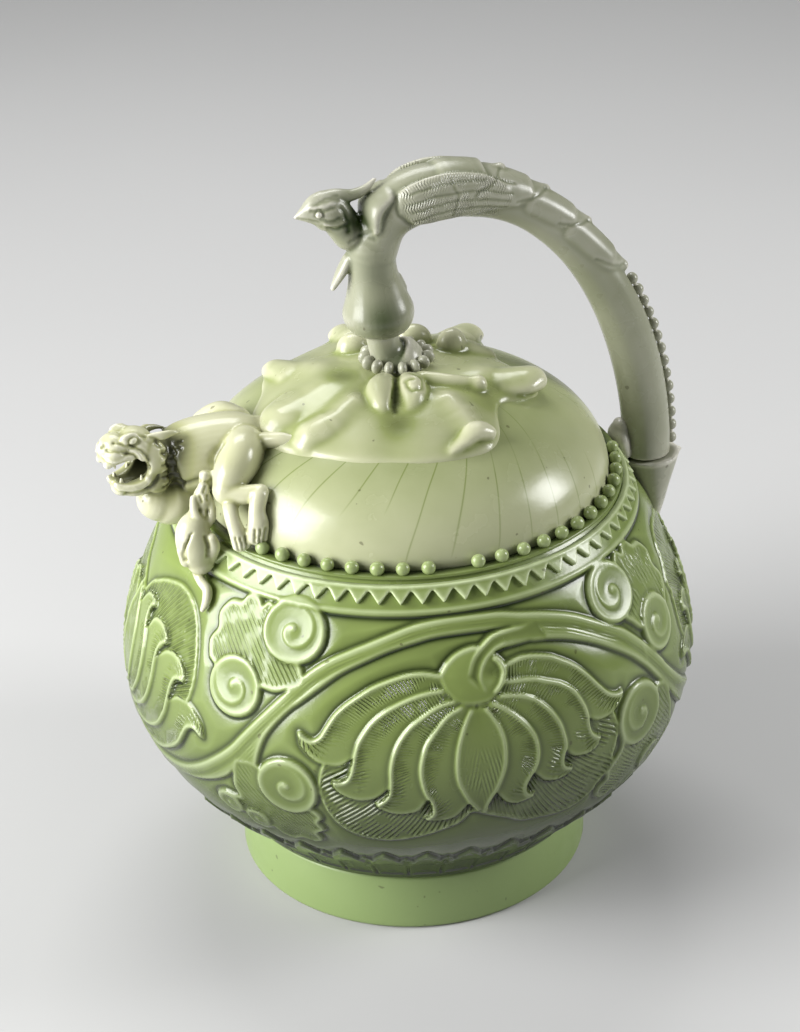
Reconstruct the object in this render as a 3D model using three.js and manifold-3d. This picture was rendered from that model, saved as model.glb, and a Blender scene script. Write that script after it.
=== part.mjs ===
// A reverse-flow ewer in carved celadon stoneware. It has a mock lid that does not open: the pot is
// turned over and filled through a five-petal hole in its base, and poured from a lioness's mouth.
// Each piece that the potter throws, rolls or models by hand is a mesh of its own, with a thin joint
// line round it where the slip would be. Millimetres, +Z up, the spout towards -X and the handle
// towards +X, with the origin on the pot's axis at the plane that the foot stands on.
import * as THREE from "three";
import { mergeVertices } from "three/addons/utils/BufferGeometryUtils.js";
import Module from "manifold-3d";

const wasm = await Module();
wasm.setup();

// Driving dimensions of the pot
const jointLine = 0.3; // slip joint between two pieces that touch
const wall = 4; // thickness of the thrown walls
const floorThickness = 5;
const footRadius = 44.9; // at the foot's resting face
const footTaper = 0.9; // how much narrower the foot is where it meets the pot
const footHeight = 15.5;
const footWall = 6.5;
const bellyRadius = 71.5;
const bellyHeight = 60.9; // height of the widest girth
const lowerBelly = 52.3; // depth of the curve under the girth
const lowerFullness = 2.02; // 2 is an ellipse, more is squarer
const upperFullness = 1.714;
const shoulderHeight = 105.6; // where the mock lid sits
const lidRadius = 50;
const shoulderStep = 2.3; // how far the shoulder stands out past the mock lid
const lidRise = 26;
const lidFullness = 2.2;
const roundness = 40; // facets round the pot

// Driving dimensions of the filling way and the pouring way
const petalRadius = 4.2; // one petal of the hole in the base
const petalSpread = 5.4; // from the pot's axis to a petal's centre
const tubeTop = 99; // height of the filling tube's open end
const tubeBore = 6; // radius of its bore at the top
const tubeWall = 3;
const spoutBore = 3.9; // radius of the pouring duct
const ductWall = 2;
const ductHeight = 8; // of the duct over the shoulder

// Driving dimensions of the ornament on the shoulder
const pearlRadius = 1.6;
const pearlPlaces = 56; // pearls round the shoulder if none were covered or lost
const lostPearlTurn = -4; // degrees from the front, where one pearl has come off
const spoutCover = 29; // degrees each side of the spout that the lioness covers
const socketCover = 9; // degrees each side of the handle that its socket covers
const toothCount = 72;
const toothDrop = 3.4; // length of one saw tooth down the shoulder
const bandThickness = 0.9;

// Driving dimensions of the handle
const bowRadius = 6; // of the round bow at its foot
const bowWaist = 5; // where the tail feathers lie on it
const bowFullness = 1.97; // 2 is an ellipse
const bowCentre = 10; // distance of the bow's top from the pot's axis
const bowStep = 5.6; // how far below the shoulder the bow stands in its socket
const bowStand = 6.9; // from the belly's surface out to the bow's centre line at its foot
const neckCentre = -4.8; // the phoenix's neck, along X
const stemCentre = -2.4; // the foot of the stem under it
const breastRadius = 8.5;
const neckRadius = 5.7;
const neckHeight = 22; // of the breast and neck together
const backRise = 11; // from the top of the neck up to the bow's centre line at its top
const headLength = 20; // of the phoenix, from the back of its head to the tip of its beak
const lionLength = 38; // from the lioness's rump to her nose
const calyxReach = 34; // from the pot's axis to the tip of the longest leaf
const collarCentre = -0.8;
const collarRadius = 8;
const collarPearlRadius = 1.4;
const collarPearls = 15;
const handlePearlRadius = 1.5;
const handlePearls = 14;

// Finishes, as a potter would name them
const finish = (color, roughness) => new THREE.MeshStandardMaterial({ color, roughness, metalness: 0 });
const bodyGlaze = finish(0x9fb37f, 0.22);
const lidGlaze = finish(0xa9b588, 0.2);
const footGlaze = finish(0xa6bd7c, 0.3);
const handleGlaze = finish(0xb4b8a2, 0.28);
const figureGlaze = finish(0xb9b98d, 0.25);
const bareClay = finish(0x9a9182, 0.85);

// Making and joining solids

const radians = Math.PI / 180;
const sliver = 0.02; // detail smaller than this is dropped
const point = (x, y, z) => new THREE.Vector3(x, y, z);

// Turns a closed three.js geometry into a solid, with its faces pointing out
function solidOf(geometry) {
  const bare = geometry.clone();
  for (const name of Object.keys(bare.attributes)) {
    if (name !== "position") bare.deleteAttribute(name);
  }
  const merged = mergeVertices(bare, 1e-4);
  const places = merged.attributes.position.array;
  const index = merged.index.array;
  const faces = [];
  let volume = 0;
  for (let i = 0; i < index.length; i += 3) {
    const [p, q, r] = [index[i], index[i + 1], index[i + 2]];
    if (p === q || q === r || r === p) continue;
    faces.push([p, q, r]);
    const [a, b, c] = [p, q, r].map((corner) => point(0, 0, 0).fromArray(places, 3 * corner));
    volume += a.dot(b.cross(c));
  }
  const outward = volume < 0 ? faces.map(([p, q, r]) => [p, r, q]) : faces;
  return new wasm.Manifold(new wasm.Mesh({
    numProp: 3,
    vertProperties: new Float32Array(places),
    triVerts: new Uint32Array(outward.flat()),
  }));
}

// Drops the slivers that trimming leaves behind and keeps the one body
function tidied(solid) {
  const bodies = solid.simplify(sliver).decompose();
  const larger = (first, second) => (second.volume() > first.volume() ? second : first);
  return bodies.reduce(larger).simplify(sliver);
}

function geometryOf(solid) {
  const mesh = tidied(solid).getMesh();
  const geometry = new THREE.BufferGeometry();
  geometry.setAttribute("position", new THREE.Float32BufferAttribute(mesh.vertProperties, 3));
  geometry.setIndex(Array.from(mesh.triVerts));
  geometry.computeVertexNormals();
  return geometry;
}

const join = (...solids) => solids.reduce((whole, next) => whole.add(next));
const cut = (solid, ...tools) => tools.reduce((whole, tool) => whole.subtract(tool), solid);

// Spins a profile of [radius, height] pairs round the pot's axis
function spun(profile, facets = roundness) {
  const points = profile.map(([radius, height]) => new THREE.Vector2(radius, height));
  return solidOf(new THREE.LatheGeometry(points, facets).rotateX(Math.PI / 2));
}

const knob = (centre, radius) => solidOf(new THREE.SphereGeometry(radius, 8, 5).translate(...centre));

// Joins rings of points into one closed skin, with a pole at each end, or end to end without poles
function skin(rings, poles = []) {
  const sides = rings[0].length;
  const places = [...rings.flat(), ...poles].flatMap((place) => place.toArray());
  const end = (rings.length - 1) * sides;
  const faces = [];
  const strip = (a, b, c, d) => faces.push(a, b, d, a, d, c);
  for (let k = 0; k < sides; k++) {
    const next = (k + 1) % sides;
    for (let row = 0; row < end; row += sides) {
      strip(row + k, row + next, row + sides + k, row + sides + next);
    }
    if (poles.length) {
      faces.push(end + sides, next, k, end + k, end + next, end + sides + 1);
    } else {
      strip(end + k, end + next, k, next);
    }
  }
  const geometry = new THREE.BufferGeometry();
  geometry.setAttribute("position", new THREE.Float32BufferAttribute(places, 3));
  geometry.setIndex(faces);
  return solidOf(geometry);
}

const upwards = point(0, 0, 1);

// A modelled limb: oval rings along a smooth path. Each station is [x, y, z, half width, half depth],
// with the width along `across`. An end is cut flat or rounded over; `grow` swells it all round.
// `facing` sets the direction in which the path leaves its first place and reaches its last.
function limb(stations, options = {}) {
  const { grow = 0, sides = 10, across = point(0, 1, 0), flat = [false, false], facing = [] } = options;
  const path = new THREE.CatmullRomCurve3(stations.map(([x, y, z]) => point(x, y, z)));
  const halves = stations.map(([, , , wide, deep = wide]) => point(wide, deep, 0));
  const sizes = new THREE.CatmullRomCurve3(halves);
  const sizeAt = (t) => sizes.getPoint(t).addScalar(grow);
  const facingAt = (t) => facing[t] ?? path.getTangent(t);
  const placeAt = (t, along) => path.getPoint(t).addScaledVector(facingAt(t), along);
  const ringAt = (t, along = 0, share = 1) => {
    const tangent = facingAt(t);
    const side = across.clone().addScaledVector(tangent, -across.dot(tangent)).normalize();
    const normal = tangent.clone().cross(side);
    const size = sizeAt(t).multiplyScalar(share);
    return Array.from({ length: sides }, (_, k) => {
      const angle = (2 * Math.PI * k) / sides;
      const place = placeAt(t, along).addScaledVector(side, size.x * Math.cos(angle));
      return place.addScaledVector(normal, size.y * Math.sin(angle));
    });
  };
  const reach = [0, 1].map((t) => (flat[t] ? grow : Math.min(sizeAt(t).x, sizeAt(t).y)) * (t ? 1 : -1));
  const capShare = 0.74;
  const capLift = Math.sqrt(1 - capShare * capShare);
  const rings = [];
  if (!flat[0]) rings.push(ringAt(0, reach[0] * capLift, capShare));
  rings.push(ringAt(0, flat[0] ? reach[0] : 0));
  const last = stations.length - 1;
  for (let i = 1; i < last; i++) rings.push(ringAt(i / last));
  rings.push(ringAt(1, flat[1] ? reach[1] : 0));
  if (!flat[1]) rings.push(ringAt(1, reach[1] * capLift, capShare));
  return skin(rings, [placeAt(0, reach[0]), placeAt(1, reach[1])]);
}

// Pearls pinched out of one string of clay. `spotAt` gives the string's centre and its two cross
// directions at a place counted in pearls; `places` are the pearls' own places.
function pearlString(spotAt, places, pitch, radius, closed = false) {
  const sides = 6;
  const thin = 0.5;
  const ringAt = (place, size) => {
    const { centre, out, up } = spotAt(place);
    return Array.from({ length: sides }, (_, k) => {
      const angle = (2 * Math.PI * (k + 0.5)) / sides;
      const spot = centre.clone().addScaledVector(out, size * Math.cos(angle));
      return spot.addScaledVector(up, size * Math.sin(angle));
    });
  };
  const half = radius / pitch;
  const shape = half > 0.36 ? [[-0.5, thin]] : [[-1.05 * half, thin]];
  shape.push([-0.6 * half, 0.8 * radius], [0, radius], [0.6 * half, 0.8 * radius]);
  if (half <= 0.36) shape.push([1.05 * half, thin]);
  const rings = places.flatMap((place) => shape.map(([along, size]) => ringAt(place + along, size)));
  if (closed) return skin(rings);
  const tips = [places[0] - 1.1 * half, places[places.length - 1] + 1.1 * half];
  if (half > 0.36) {
    rings.shift();
    tips[0] = places[0] - half;
    tips[1] = places[places.length - 1] + half;
  }
  return skin(rings, tips.map((place) => spotAt(place).centre));
}

// Outlines of the pot

const footTop = footRadius - footTaper;
const flareHeight = 9; // over the foot, where the belly's own curve begins

// Height that the upper curve would reach, so that it meets the shoulder
const shoulderRadius = lidRadius + shoulderStep;
const shoulderShare = (1 - (shoulderRadius / bellyRadius) ** upperFullness) ** (1 / upperFullness);
const upperBelly = (shoulderHeight - bellyHeight) / shoulderShare;

// Outside radius of the pot at a height between its foot and its shoulder
function bellyRadiusAt(height) {
  const below = height < bellyHeight;
  const reach = below ? lowerBelly : upperBelly;
  const fullness = below ? lowerFullness : upperFullness;
  const share = Math.abs((height - bellyHeight) / reach) ** fullness;
  return bellyRadius * (1 - share) ** (1 / fullness);
}

// Height of the mock lid's surface at a distance from the axis
function lidHeightAt(radius) {
  const share = Math.min(1, (radius / lidRadius) ** lidFullness);
  return shoulderHeight + lidRise * (1 - share) ** (1 / lidFullness);
}

function lidArc(radius, rise, steps) {
  const arc = [];
  for (let i = 0; i <= steps; i++) {
    const angle = (Math.PI / 2) * (i / steps);
    const out = i === steps ? 0 : radius * Math.cos(angle) ** (2 / lidFullness);
    arc.push([out, shoulderHeight + rise * Math.sin(angle) ** (2 / lidFullness)]);
  }
  return arc;
}

// Outline of the thrown belly between two heights, pushed out by `grow`
function bellyCurve(from, to, steps, grow = 0) {
  return Array.from({ length: steps + 1 }, (_, i) => {
    const height = from + ((to - from) * i) / steps;
    const slope = (bellyRadiusAt(height + 0.1) - bellyRadiusAt(height - 0.1)) / 0.2;
    const length = Math.hypot(1, slope);
    return [bellyRadiusAt(height) + grow / length, height - (grow * slope) / length];
  });
}

// The flare just over the foot
function bellyFlare(grow = 0) {
  const spots = [[0.3, 0], [1.8, 1.2], [3.4, 3.6], [5.5, 6.2]];
  return spots.map(([out, up]) => [footTop + out + grow, footHeight + up]);
}

// The space under the mock lid's wall, made smaller by `gap`
function underLid(gap = 0) {
  return spun([[0, shoulderHeight], ...lidArc(lidRadius - wall - gap, lidRise - wall - gap, 5)]);
}

function lidWall() {
  const inside = lidArc(lidRadius - wall, lidRise - wall, 5).reverse();
  return spun([...inside, ...lidArc(lidRadius, lidRise, 7)]);
}

// The whole pot as one filled form, for trimming what is luted onto it
function filledPot() {
  const curve = bellyCurve(footHeight + flareHeight, shoulderHeight - jointLine, 10, jointLine);
  const belly = [...bellyFlare(jointLine), ...curve];
  const lid = lidArc(lidRadius + jointLine, lidRise + jointLine, 7);
  return spun([[0, footHeight], ...belly, [belly[belly.length - 1][0], shoulderHeight], ...lid]);
}

// Thrown pieces

function footRing() {
  const inner = footRadius - footWall;
  const top = footHeight - jointLine;
  return spun([
    [inner + 1, 0], [footRadius - 0.8, 0], [footRadius, 0.9], [footTop, top],
    [inner - 1, top], [inner - 0.6, 4], [inner + 1, 0],
  ]);
}

// The filling hole: five round petals about a heart, as the outline of a plum blossom
function plumBlossom(from, to) {
  const depth = to - from;
  const disc = (radius, x, y, facets) => solidOf(
    new THREE.CylinderGeometry(radius, radius, depth, facets)
      .rotateX(Math.PI / 2).translate(x, y, from + depth / 2));
  const petals = [];
  for (let i = 0; i < 5; i++) {
    const turn = (90 + 72 * i) * radians;
    petals.push(disc(petalRadius, petalSpread * Math.cos(turn), petalSpread * Math.sin(turn), 14));
  }
  return join(disc(petalSpread, 0, 0, 15), ...petals);
}

// The belly is thrown as two bowls, luted rim to rim at the girth
const girthBelow = bellyHeight - jointLine / 2;
const girthAbove = bellyHeight + jointLine / 2;

function lowerBowl() {
  const floorTop = footHeight + floorThickness;
  const outer = [...bellyFlare(), ...bellyCurve(footHeight + flareHeight, girthBelow, 5)];
  const inner = bellyCurve(floorTop + wall, girthBelow, 4, -wall).reverse();
  inner[0][1] = girthBelow;
  const shell = spun([
    [0, footHeight], [footTop - footWall, footHeight], ...outer, ...inner,
    [inner[inner.length - 1][0] - footWall, floorTop], [0, floorTop],
  ]);
  return cut(shell, plumBlossom(footHeight - 1, floorTop + 1));
}

function upperBowl() {
  const rim = shoulderHeight - jointLine;
  const outer = bellyCurve(girthAbove, rim, 6);
  const inner = bellyCurve(girthAbove, rim, 4, -wall).reverse();
  inner[0][1] = rim;
  inner[inner.length - 1][1] = girthAbove;
  return spun([...outer, ...inner, outer[0]]);
}

// Tapered tube that stands over the base hole and keeps the wine in when the pot is upright
function fillingTube() {
  const bottom = footHeight + floorThickness + jointLine;
  const mouth = petalRadius + petalSpread + 0.6;
  return spun([
    [mouth, bottom], [mouth + tubeWall + 1.5, bottom], [mouth + tubeWall - 1, bottom + 8],
    [tubeBore + tubeWall, tubeTop - 1.5], [tubeBore + tubeWall - 1.2, tubeTop], [tubeBore, tubeTop],
    [mouth - 1, bottom + 8], [mouth, bottom],
  ], 20);
}

// Trim of the shoulder

const ledgeTop = shoulderHeight + 0.9;
const pearlReach = lidRadius + jointLine + pearlRadius; // from the axis to a pearl's centre

// Flat ledge on which the pearls sit
function shoulderLedge(grow = 0) {
  const inner = lidRadius + jointLine - grow;
  const outer = shoulderRadius + 1 + grow;
  return spun([
    [inner, shoulderHeight - grow], [outer, shoulderHeight - grow], [outer, ledgeTop - 0.4],
    [outer - 0.4, ledgeTop + grow], [inner, ledgeTop + grow], [inner, shoulderHeight - grow],
  ]);
}

// Number of each pearl that shows, counted from the lost one. Those from half way round count down from it.
function pearlNumbers(front) {
  const numbers = [];
  for (let i = -pearlPlaces / 2; i < pearlPlaces; i++) {
    const turn = lostPearlTurn + (360 * i) / pearlPlaces;
    const isFront = turn > -90 && turn < 90;
    const isBack = turn > 90 && turn < 270;
    const fromSpout = Math.min(Math.abs(turn + 90), Math.abs(turn - 270));
    if (i === 0 || fromSpout < spoutCover || Math.abs(turn - 90) < socketCover) continue;
    if (front ? isFront : isBack) numbers.push(i);
  }
  return numbers;
}

// The shoulder's pearls fall in two runs, one on each side of the lioness and the handle
function shoulderPearls(front) {
  const spotAt = (number) => {
    const turn = (lostPearlTurn + (360 * number) / pearlPlaces) * radians;
    const out = point(Math.sin(turn), -Math.cos(turn), 0);
    const centre = out.clone().multiplyScalar(pearlReach).setZ(ledgeTop + jointLine + pearlRadius);
    return { centre, out, up: point(0, 0, 1) };
  };
  return pearlString(spotAt, pearlNumbers(front), (2 * Math.PI * pearlReach) / pearlPlaces, pearlRadius);
}

// A thin collar on the shoulder with a row of teeth along its lower edge
function sawtoothBand(grow = 0) {
  const top = shoulderHeight - 2 * jointLine - 0.2;
  const root = top - 0.9;
  const tip = root - toothDrop;
  const places = [];
  const spot = (column, height, out) => {
    const angle = (Math.PI * column) / toothCount;
    const radius = bellyRadiusAt(height) + out;
    places.push(radius * Math.cos(angle), radius * Math.sin(angle), height);
  };
  const columns = 2 * toothCount;
  for (let i = 0; i < columns; i++) {
    const low = grow > 0 || i % 2 === 1 ? tip - grow : root;
    for (const height of [top + grow, low]) {
      spot(i, height, jointLine - grow);
      spot(i, height, jointLine + bandThickness + grow);
    }
  }
  const faces = [];
  const quad = (a, b, c, d) => faces.push(a, b, c, a, c, d);
  for (let i = 0; i < columns; i++) {
    const a = 4 * i;
    const b = 4 * ((i + 1) % columns);
    quad(a, b, b + 1, a + 1);
    quad(a + 1, b + 1, b + 3, a + 3);
    quad(a + 3, b + 3, b + 2, a + 2);
    quad(a + 2, b + 2, b, a);
  }
  const geometry = new THREE.BufferGeometry();
  geometry.setAttribute("position", new THREE.Float32BufferAttribute(places, 3));
  geometry.setIndex(faces);
  return solidOf(geometry);
}

// Persimmon calyx on the mock lid

const crown = lidHeightAt(0);

// Each leaf's turn in degrees from the front, its length beside the longest one's, and the rise of its tip
const calyxLeaves = [
  { turn: -104, length: 0.8, lift: 1.6 },
  { turn: -66, length: 0.91, lift: 2 },
  { turn: 20, length: 1, lift: 2.6 },
  { turn: 78, length: 0.91, lift: 2.6 },
  { turn: 122, length: 0.8, lift: 1.8 },
  { turn: 166, length: 0.88, lift: 2.2 },
  { turn: -150, length: 0.85, lift: 2 },
];

const leafDepth = 2.1; // half a leaf's thickness at its root

// A leaf that runs out along the lid and curls its tip up
function calyxLeaf({ turn, length, lift }, grow = 0) {
  const out = point(Math.sin(turn * radians), -Math.cos(turn * radians), 0);
  const reach = calyxReach * length;
  const width = 0.26 * reach;
  const shape = [[0.3, 0.6, 0.8], [0.6, 1, 0.7], [0.85, 0.62, 0.9 + 0.4 * lift], [1, 0.2, 0.6 + lift]];
  const stations = shape.map(([along, wide, high]) => {
    const place = out.clone().multiplyScalar(reach * along);
    const deep = leafDepth * (1 - 0.38 * along * along);
    return [place.x, place.y, lidHeightAt(reach * along) + high, width * wide, deep];
  });
  return limb(stations, { across: point(-out.y, out.x, 0), sides: 7, grow });
}

// Low mound in the middle of the calyx, swollen by `grow`
function calyxMound(grow = 0) {
  return spun([
    [0, crown - 6], [17 + grow, crown - 6], [15 + grow, crown - 0.4], [9 + grow, crown + 2.2 + grow],
    [0, crown + 2.6 + grow],
  ], 14);
}

function persimmonCalyx() {
  const roll = limb([
    [3, -13.5, crown + 2.6, 1.9], [9, -14.4, crown + 2.4, 1.7], [15.4, -14.6, crown + 0.9, 1.6],
  ], { across: point(0, 0, 1), sides: 6 });
  const curls = [[14.5, 14, 1.2, 3.8], [-9.5, 9.5, 2, 3.4], [4.4, 9, 2.4, 3.2]].map(([x, y, up, size]) =>
    knob([x, y, crown + up], size));
  const calyx = join(calyxMound(), roll, ...curls, ...calyxLeaves.map((leaf) => calyxLeaf(leaf)));
  const budRoom = calyxBud(jointLine);
  const lowerRoom = budRoom.translate([0, 0, -1.5]);
  return cut(calyx, filledPot(), neckStem(jointLine), collarRoom(), budRoom, lowerRoom);
}

// Heart-shaped bud between the two front leaves
function calyxBud(grow = 0) {
  const turn = -20;
  const side = point(Math.cos(turn * radians), Math.sin(turn * radians), 0);
  const at = (along, aside, high) => {
    const x = along * Math.sin(turn * radians) + aside * side.x;
    const y = -along * Math.cos(turn * radians) + aside * side.y;
    return [x, y, lidHeightAt(along) + high];
  };
  const lobe = (aside) => limb([
    [...at(13.5, aside, 2.6), 2.7, 2.2], [...at(17, aside * 0.95, 2.4), 3.1, 2.8],
    [...at(20.5, aside * 0.3, 1), 1.2, 1],
  ], { across: side, sides: 8, grow });
  return cut(join(lobe(-2.3), lobe(2.3)), filledPot());
}

// Stem and collar under the phoenix

const stemFoot = crown + 2.6 + jointLine;
const stemHeight = 8.6;

function neckStem(grow = 0) {
  const lean = neckCentre - stemCentre;
  return limb([
    [stemCentre, 0, stemFoot, 6.6], [stemCentre + lean * 0.2, 0, stemFoot + 1.8, 5.4],
    [stemCentre + lean * 0.6, 0, stemFoot + 4.4, 4.3],
    [stemCentre + lean * 0.9, 0, stemFoot + stemHeight, 4.1],
  ], { grow, flat: [true, true], facing: [upwards, upwards], sides: 12 });
}

const collarHeight = stemFoot + 2.4;

// Ring of pearls round the foot of the stem
function pearlCollar() {
  const spotAt = (number) => {
    const angle = (2 * Math.PI * number) / collarPearls;
    const out = point(Math.cos(angle), Math.sin(angle), 0);
    const centre = out.clone().multiplyScalar(collarRadius).add(point(collarCentre, 0, collarHeight));
    return { centre, out, up: point(0, 0, 1) };
  };
  const numbers = Array.from({ length: collarPearls }, (_, i) => i);
  const pitch = (2 * Math.PI * collarRadius) / collarPearls;
  const ring = pearlString(spotAt, numbers, pitch, collarPearlRadius, true);
  return cut(ring, neckStem(jointLine), calyxMound(jointLine));
}

// Plain ring that keeps the calyx clear of the collar
function collarRoom() {
  const ring = new THREE.TorusGeometry(collarRadius, collarPearlRadius + jointLine, 8, 20);
  return solidOf(ring.translate(collarCentre, 0, collarHeight));
}

// Phoenix and bow

const breastFoot = stemFoot + stemHeight + jointLine;
const neckTop = breastFoot + neckHeight;
const bowFoot = shoulderHeight - bowStep;
const bowRise = neckTop + backRise - bowFoot;
const bowSpan = bellyRadiusAt(bowFoot) + bowStand - bowCentre;

// A point on the bow's centre line, `angle` degrees down from its top
function bowPoint(angle) {
  const power = (value) => Math.sign(value) * Math.abs(value) ** (2 / bowFullness);
  const along = bowSpan * power(Math.sin(angle * radians));
  return point(bowCentre + along, 0, bowFoot + bowRise * power(Math.cos(angle * radians)));
}

const bowFacing = (angle) => bowPoint(angle + 0.5).sub(bowPoint(angle - 0.5)).normalize();

// The same point moved away from the middle of the bow by `out`
function bowPlace(angle, out = 0) {
  const place = bowPoint(angle);
  const facing = bowFacing(angle);
  return [place.x - facing.z * out, 0, place.z + facing.x * out];
}

const bowPath = (from, to, count, at) => Array.from({ length: count + 1 }, (_, i) => {
  const share = i / count;
  const angle = from + (to - from) * share;
  const [wide, deep, out] = at(share, angle);
  return [...bowPlace(angle, out), wide, deep];
});

const bodyEnd = 13; // degrees along the bow where the phoenix's body ends and the plain bow begins

// Radius of the bird's body and of the bow at an angle
function skinRadius(angle) {
  const body = THREE.MathUtils.clamp((24 - angle) / 24, 0, 1);
  const foot = THREE.MathUtils.smoothstep(angle, 35, 72);
  return bowWaist + 1.7 * body + (bowRadius - bowWaist) * foot;
}

// Round breast and neck, standing on the stem
function phoenixBreast(grow = 0) {
  const z = breastFoot;
  const x = neckCentre;
  return limb([
    [x, 0, z, 5.2], [x, 0, z + 1.9, 7.5], [x - 0.1, 0, z + 5.3, breastRadius], [x - 0.5, 0, z + 9.8, 7.1],
    [x - 1, 0, z + 14.5, 5.9], [x - 1.3, 0, z + 18.6, neckRadius], [x - 1.2, 0, neckTop, 5.9],
  ], { grow, flat: [true, true], facing: [upwards, upwards], sides: 14 });
}

// Back and shoulders, bending from the neck into the bow
function phoenixBody(grow = 0) {
  const z = neckTop + jointLine;
  const x = neckCentre - 1.2;
  return limb([
    [x, 0, z, 5.9], [x + 1.3, 0, z + 4.4, 6.6], [x + 5.4, 0, z + 8.3, 7],
    [...bowPlace(-4), skinRadius(0)], [...bowPlace(4.5), skinRadius(4.5)],
    [...bowPlace(bodyEnd), skinRadius(bodyEnd)],
  ], { grow, flat: [true, true], facing: [upwards, bowFacing(bodyEnd)], sides: 14 });
}

function handleBow(grow = 0) {
  const at = (share, angle) => [skinRadius(angle), skinRadius(angle), 0];
  const stations = bowPath(bodyEnd + 0.35, 90, 12, at);
  const facing = [bowFacing(bodyEnd), bowFacing(90)];
  return limb(stations, { grow, flat: [true, true], facing, sides: 14 });
}

const headX = neckCentre - 4.2;
const headZ = neckTop + 7.6;
const headUnit = headLength / 20; // the head's shapes are drawn 20 long

// A station of the head: forward from its back, up from its middle, and its half width and half depth
const onHead = (forward, up, ...sizes) =>
  [headX - forward * headUnit, 0, headZ + up * headUnit, ...sizes.map((size) => size * headUnit)];

function phoenixHead(grow = 0) {
  return limb([
    onHead(0, 0, 5, 4.8), onHead(4, 2.2, 5.4, 5.3), onHead(8, 2.8, 4.9, 5.1), onHead(11, 2.2, 3.2, 3.4),
  ], { grow });
}

function phoenixBeak() {
  const beak = limb([
    onHead(11.5, 2.2, 2.7, 2.9), onHead(13.4, 1.9, 1.8, 2), onHead(14.9, 1.6, 0.5, 0.6),
  ], { sides: 8 });
  return cut(beak, phoenixHead(jointLine));
}

// Crest that sweeps back from the crown
function phoenixCrest() {
  const crest = limb([
    onHead(8, 6.4, 2.4, 1.4), onHead(4, 6.4, 2.6, 1.6), onHead(0, 6.2, 1.8, 1.5), onHead(-3, 7.6, 0.8),
  ], { sides: 8 });
  return cut(crest, phoenixHead(jointLine), phoenixBody(jointLine));
}

// Curled throat feather under the chin
function throatFeather() {
  const feather = limb([
    [neckCentre - 6.8, 0, neckTop - 4.6, 1.7, 1.6], [neckCentre - 8, 0, neckTop - 7.4, 1.7, 1.5],
    [neckCentre - 10, 0, neckTop - 10.2, 0.7, 0.7],
  ], { sides: 8 });
  return cut(feather, phoenixBreast(jointLine), phoenixHead(jointLine));
}

// Folded wing, laid along the side of the body and the start of the bow
function wing(side, grow = 0) {
  const at = ([x, , z], aside, wide, deep) => [x, side * aside, z, wide, deep];
  return limb([
    at(bowPlace(-9, 0), 6, 1.5, 3.6), at(bowPlace(-2, 0.6), 6.6, 1.6, 5), at(bowPlace(8, 1), 6.2, 1.5, 4.6),
    at(bowPlace(16, 2), 5.2, 1.3, 2.4),
  ], { sides: 8, grow });
}

// Long feathers that lie over each other along the back of the bow, each ending in a point.
// Each pair is where a feather starts and where its tip lies, in degrees along the bow.
const featherSpans = [[2, 14.5], [12, 26], [23, 38], [35, 50.5]];
const featherThickness = 1;

function tailFeather(index, grow = 0) {
  const [from, to] = featherSpans[index];
  const at = (share, angle) => {
    const taper = Math.sqrt(1 - share ** 4);
    const deep = (skinRadius(angle) - 0.5) * (0.3 + 0.7 * taper);
    const wide = (skinRadius(angle) + 0.2) * (0.15 + 0.85 * taper);
    return [wide, deep, skinRadius(angle) + featherThickness - deep];
  };
  return limb(bowPath(from, to, 4, at), { grow, sides: 10 });
}

function trimmedFeather(index) {
  const under = featherSpans.slice(index + 1).map((_, i) => tailFeather(index + 1 + i, jointLine));
  const wings = [wing(1, jointLine), wing(-1, jointLine)];
  return cut(tailFeather(index), phoenixBody(jointLine), handleBow(jointLine), ...wings, ...under);
}

const pearlsFrom = 54; // degrees along the bow where its row of pearls begins
const pearlsTo = 88;

// Row of pearls down the outside of the bow
function handlePearlRow() {
  const step = (pearlsTo - pearlsFrom) / (handlePearls - 1);
  const spotAt = (number) => {
    const angle = pearlsFrom + step * number;
    const centre = point(...bowPlace(angle, skinRadius(angle) + 0.8));
    return { centre, out: centre.clone().sub(point(...bowPlace(angle))).normalize(), up: point(0, 1, 0) };
  };
  const numbers = Array.from({ length: handlePearls }, (_, i) => i);
  const pitch = spotAt(6).centre.distanceTo(spotAt(7).centre);
  const row = pearlString(spotAt, numbers, pitch, handlePearlRadius);
  const lastFeather = tailFeather(featherSpans.length - 1, jointLine);
  return cut(row, handleBow(jointLine), lastFeather, handleSocket(jointLine));
}

// Calyx-shaped socket in which the bow stands, luted to the shoulder
const socketX = bowCentre + bowSpan;

function handleSocket(grow = 0) {
  const top = bowFoot - jointLine;
  const cup = limb([
    [socketX + 2.6, 0, top - 18, 1.8, 1.6], [socketX + 2.4, 0, top - 13, 3.6, 3],
    [socketX + 1.6, 0, top - 7, 5.6, 5.2],
    [socketX + 1, 0, top, 7.6, 7.6],
  ], { grow, flat: [false, true], sides: 12 });
  const tip = limb([
    [socketX + 4.6, 0, top - 4.4, 2.4, 2], [socketX + 7.2, 0, top - 2, 1.6, 1.4],
    [socketX + 9.2, 0, top - 0.6, 0.6, 0.6],
  ], { grow, sides: 8 });
  return join(cup, tip);
}

// Rounded petal that rises behind the bow's foot
function socketPetal() {
  const petal = limb([
    [socketX - 6.4, 0, bowFoot + 1.6, 4.2, 2.2], [socketX - 7.4, 0, bowFoot + 5.4, 4.6, 2.4],
    [socketX - 7, 0, bowFoot + 8.4, 2.6, 1.8],
  ]);
  return onPot(petal, handleBow(jointLine), handleSocket(jointLine));
}

// Lioness and cub. Their places are measured outwards from the mock lid's edge under the spout,
// sideways, and up from the shoulder.

const lionUnit = lionLength / 38; // she is drawn 38 long
const inLionSize = (sizes) => sizes.map((size) => size * lionUnit);

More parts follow.
